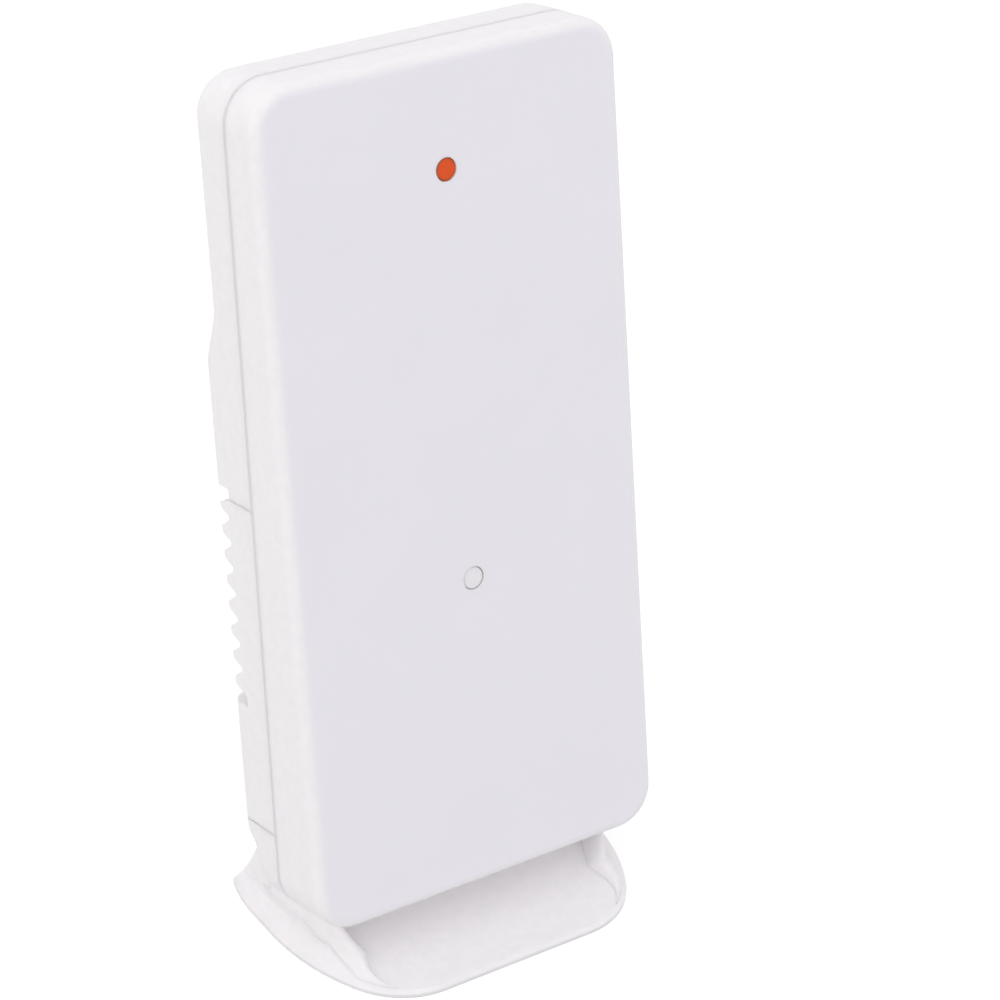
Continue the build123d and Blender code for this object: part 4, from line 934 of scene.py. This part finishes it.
def add_thread(points, faces, x, height, seat, length):
    """Sharp ridge that winds round a screw's shank from below its head to its tip."""
    first = len(points)
    steps = round((length - SCREW_HEAD - SCREW_POINT) / THREAD_PITCH * THREAD_STEPS)
    for step in range(steps + 1):
        angle = 2 * pi * step / THREAD_STEPS
        depth = seat - SCREW_HEAD - THREAD_PITCH * step / THREAD_STEPS
        rise = THREAD_RISE * min(1.0, step / THREAD_RUN_IN, (steps - step) / THREAD_RUN_IN + 0.02)
        for radius, shift in ((SHANK - THREAD_ROOT, -THREAD_HALF), (SHANK + rise, 0.0),
                              (SHANK - THREAD_ROOT, THREAD_HALF)):
            points.append(housing_point(x + radius * cos(angle), depth + shift,
                                        height + radius * sin(angle)))
    for step in range(steps):
        a = first + 3 * step
        faces += [(a, a + 1, a + 4, a + 3), (a + 1, a + 2, a + 5, a + 4)]


points, faces = [], []
for screw_x, screw_height in BOARD_SCREWS:
    add_thread(points, faces, screw_x, screw_height, BOARD_BACK, BOARD_SCREW_LENGTH)
finish_piece("board_screw_threads", points, faces, zinc_plate, sharp=30.0)

# Back shell
# White ABS cover with the raised pad, the keyhole and the ribbed door's bay, screwed to the front
# shell. Its whole outside is spark-eroded, so it is dry to the eye and finely mottled.


def rear_abs(name):
    """Spark-eroded white ABS with the parting groove's painted shade."""
    material, tree, shader = new_material(name, **WHITE_ABS)
    _, colour, _, _ = grain(tree, shader, "f3f1f1", "efeeee", 0.60, 0.015)
    feed(tree, shader, Base_Color=seam_shade(tree, colour.outputs[2]).outputs[2])
    return material


back_abs = rear_abs("spark_eroded_abs_of_back")
dress("back_shell", back_abs)

# Rims of the door's bay: at both ends of the bay the shell's side wall has a thin rim that the
# door closes on, so that its seam is a fine line and no slit.
BAY_ENDS = (12.2, 60.93)
BAY_SEAM = 0.17
BAY_REAR = 15.0
BAY_RIM_BODY = 0.9
BAY_RIM_CLEAR = 0.05
BAY_RIM_STEP = 0.1
WIDEST_DEPTH = 10.0
SIDE_DRAFT = radians(1.5)
points, faces = [], []
for side in (-1, 1):
    for low in BAY_ENDS:
        first = len(points)
        front = SEAM_LOW - SEAM_FALL * low + SEAM_GAP + BAY_RIM_CLEAR
        corners = ((LIP_DEPTH, low), (LIP_DEPTH, low + BAY_SEAM), (BAY_RIM_BODY, low + BAY_SEAM),
                   (BAY_RIM_BODY, low))
        for depth in (front, max(front + BAY_RIM_STEP, WIDEST_DEPTH), BAY_REAR):
            surface = HOUSING_HALF - max(0.0, depth - WIDEST_DEPTH) * sin(SIDE_DRAFT)
            for inset, height in corners:
                points.append(housing_point(side * (surface - inset), depth, height))
        for step in range(2):
            for place in range(4):
                a, b = first + 4 * step + place, first + 4 * step + (place + 1) % 4
                faces.append((a, b, b + 4, a + 4) if side < 0 else (a, a + 4, b + 4, b))
        for end in (first, first + 8):
            cap = (end, end + 1, end + 2, end + 3)
            faces.append(cap if (end == first) == (side > 0) else cap[::-1])
finish_piece("bay_rims", points, faces, back_abs)

# Case screws
# Three longer screws of the same kind, two deep in the shell's top corners and one under the
# door, driven forward into the bosses of the front shell.
CASE_SCREWS = ((-21.5, 112.5, 13.5), (21.5, 112.5, 13.5), (0.0, 22.0, 10.2))
CASE_SCREW_LENGTH = 8.0
dress("case_screws", zinc_plate)
points, faces = [], []
for screw_x, screw_height, seat in CASE_SCREWS:
    add_thread(points, faces, screw_x, screw_height, seat, CASE_SCREW_LENGTH)
finish_piece("case_screw_threads", points, faces, zinc_plate, sharp=30.0)

# Cell contacts
# Bridge at the foot, two terminals above and two wound springs, all stamped or wound from
# nickel-plated spring steel and pushed into slots of the back shell; warm grey, bright.
spring_steel, tree, shader = new_material("nickel_plated_spring_steel", Metallic=1.0)
cloud(tree, shader, ("c2beb6", "d8d4cc"), 0.5, (0.16, 0.34), detail=4.0, relief=0.004)
for contact in ("bridge_contact", "positive_terminal", "negative_terminal", "contact_springs"):
    dress(contact, spring_steel)

# Cells
# Two AAA cells lie side by side, one each way up. A printed film is shrunk round the steel can:
# here plain dark grey with a pale band at the positive end, and the bare steel shows at both ends.
CELL_FILM_RADIUS = 5.1
CELL_BAND = 12.5
CELL_FLAKE = 0.3
for cell, cell_x, plus_up in (("battery_1", -TAB_X, True), ("battery_2", TAB_X, False)):
    # The cell's middle in the housing: its box leans with it, so the middle stays the middle.
    low_corner, high_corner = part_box(cell)
    middle = (low_corner + high_corner) / 2 / MM
    middle_depth = (middle.y - CORNER_Y) * cos(LEAN) - (middle.z - CORNER_Z) * sin(LEAN)
    middle_height = (middle.y - CORNER_Y) * sin(LEAN) + (middle.z - CORNER_Z) * cos(LEAN)
    film, tree, shader = new_material("shrunk_film_on_" + cell, IOR=1.5)
    cell_place = housing_places(tree, cell_x, middle_depth, middle_height)
    cell_axes = add_node(tree, "SeparateXYZ", {"Vector": cell_place.outputs["Vector"]})
    cell_radius = from_axis(tree, cell_axes.outputs["X"], cell_axes.outputs["Y"])
    is_film = add_node(tree, "Math", {0: cell_radius.outputs["Value"], 1: CELL_FILM_RADIUS * MM},
                       operation="GREATER_THAN")
    bare_steel = add_node(tree, "Math", {0: 1.0, 1: is_film.outputs[0]}, operation="SUBTRACT")
    along = add_node(tree, "Math", {0: cell_axes.outputs["Z"], 1: 1.0 if plus_up else -1.0},
                     operation="MULTIPLY")
    band = add_node(tree, "Math", {0: along.outputs[0], 1: CELL_BAND * MM},
                    operation="GREATER_THAN")
    flakes = add_node(tree, "TexNoise", {"Vector": cell_place.outputs["Vector"],
                                         "Scale": 1 / (CELL_FLAKE * MM), "Detail": 2.0})
    grey_film = add_node(tree, "Mix", {0: flakes.outputs["Fac"], 6: linear("3b3e45"),
                                       7: linear("4a4e56")}, data_type="RGBA")
    film_tone = add_node(tree, "Mix", {0: band.outputs[0], 6: grey_film.outputs[2],
                                       7: linear("a9adb3")}, data_type="RGBA")
    cell_colour = add_node(tree, "Mix", {0: bare_steel.outputs[0], 6: film_tone.outputs[2],
                                         7: linear("c9c8c4")}, data_type="RGBA")
    cell_rough = add_node(tree, "MapRange", {"Value": flakes.outputs["Fac"], "To Min": 0.20,
                                             "To Max": 0.34})
    feed(tree, shader, Base_Color=cell_colour.outputs[2], Metallic=bare_steel.outputs[0],
         Roughness=cell_rough.outputs["Result"])
    dress(cell, film)

# Battery door
# Cap of the same spark-eroded white ABS that takes the whole rear over the cells, with eight grip
# ribs moulded across it for the thumbs. It is pulled straight off.
dress("battery_door", rear_abs("spark_eroded_abs_of_door"))
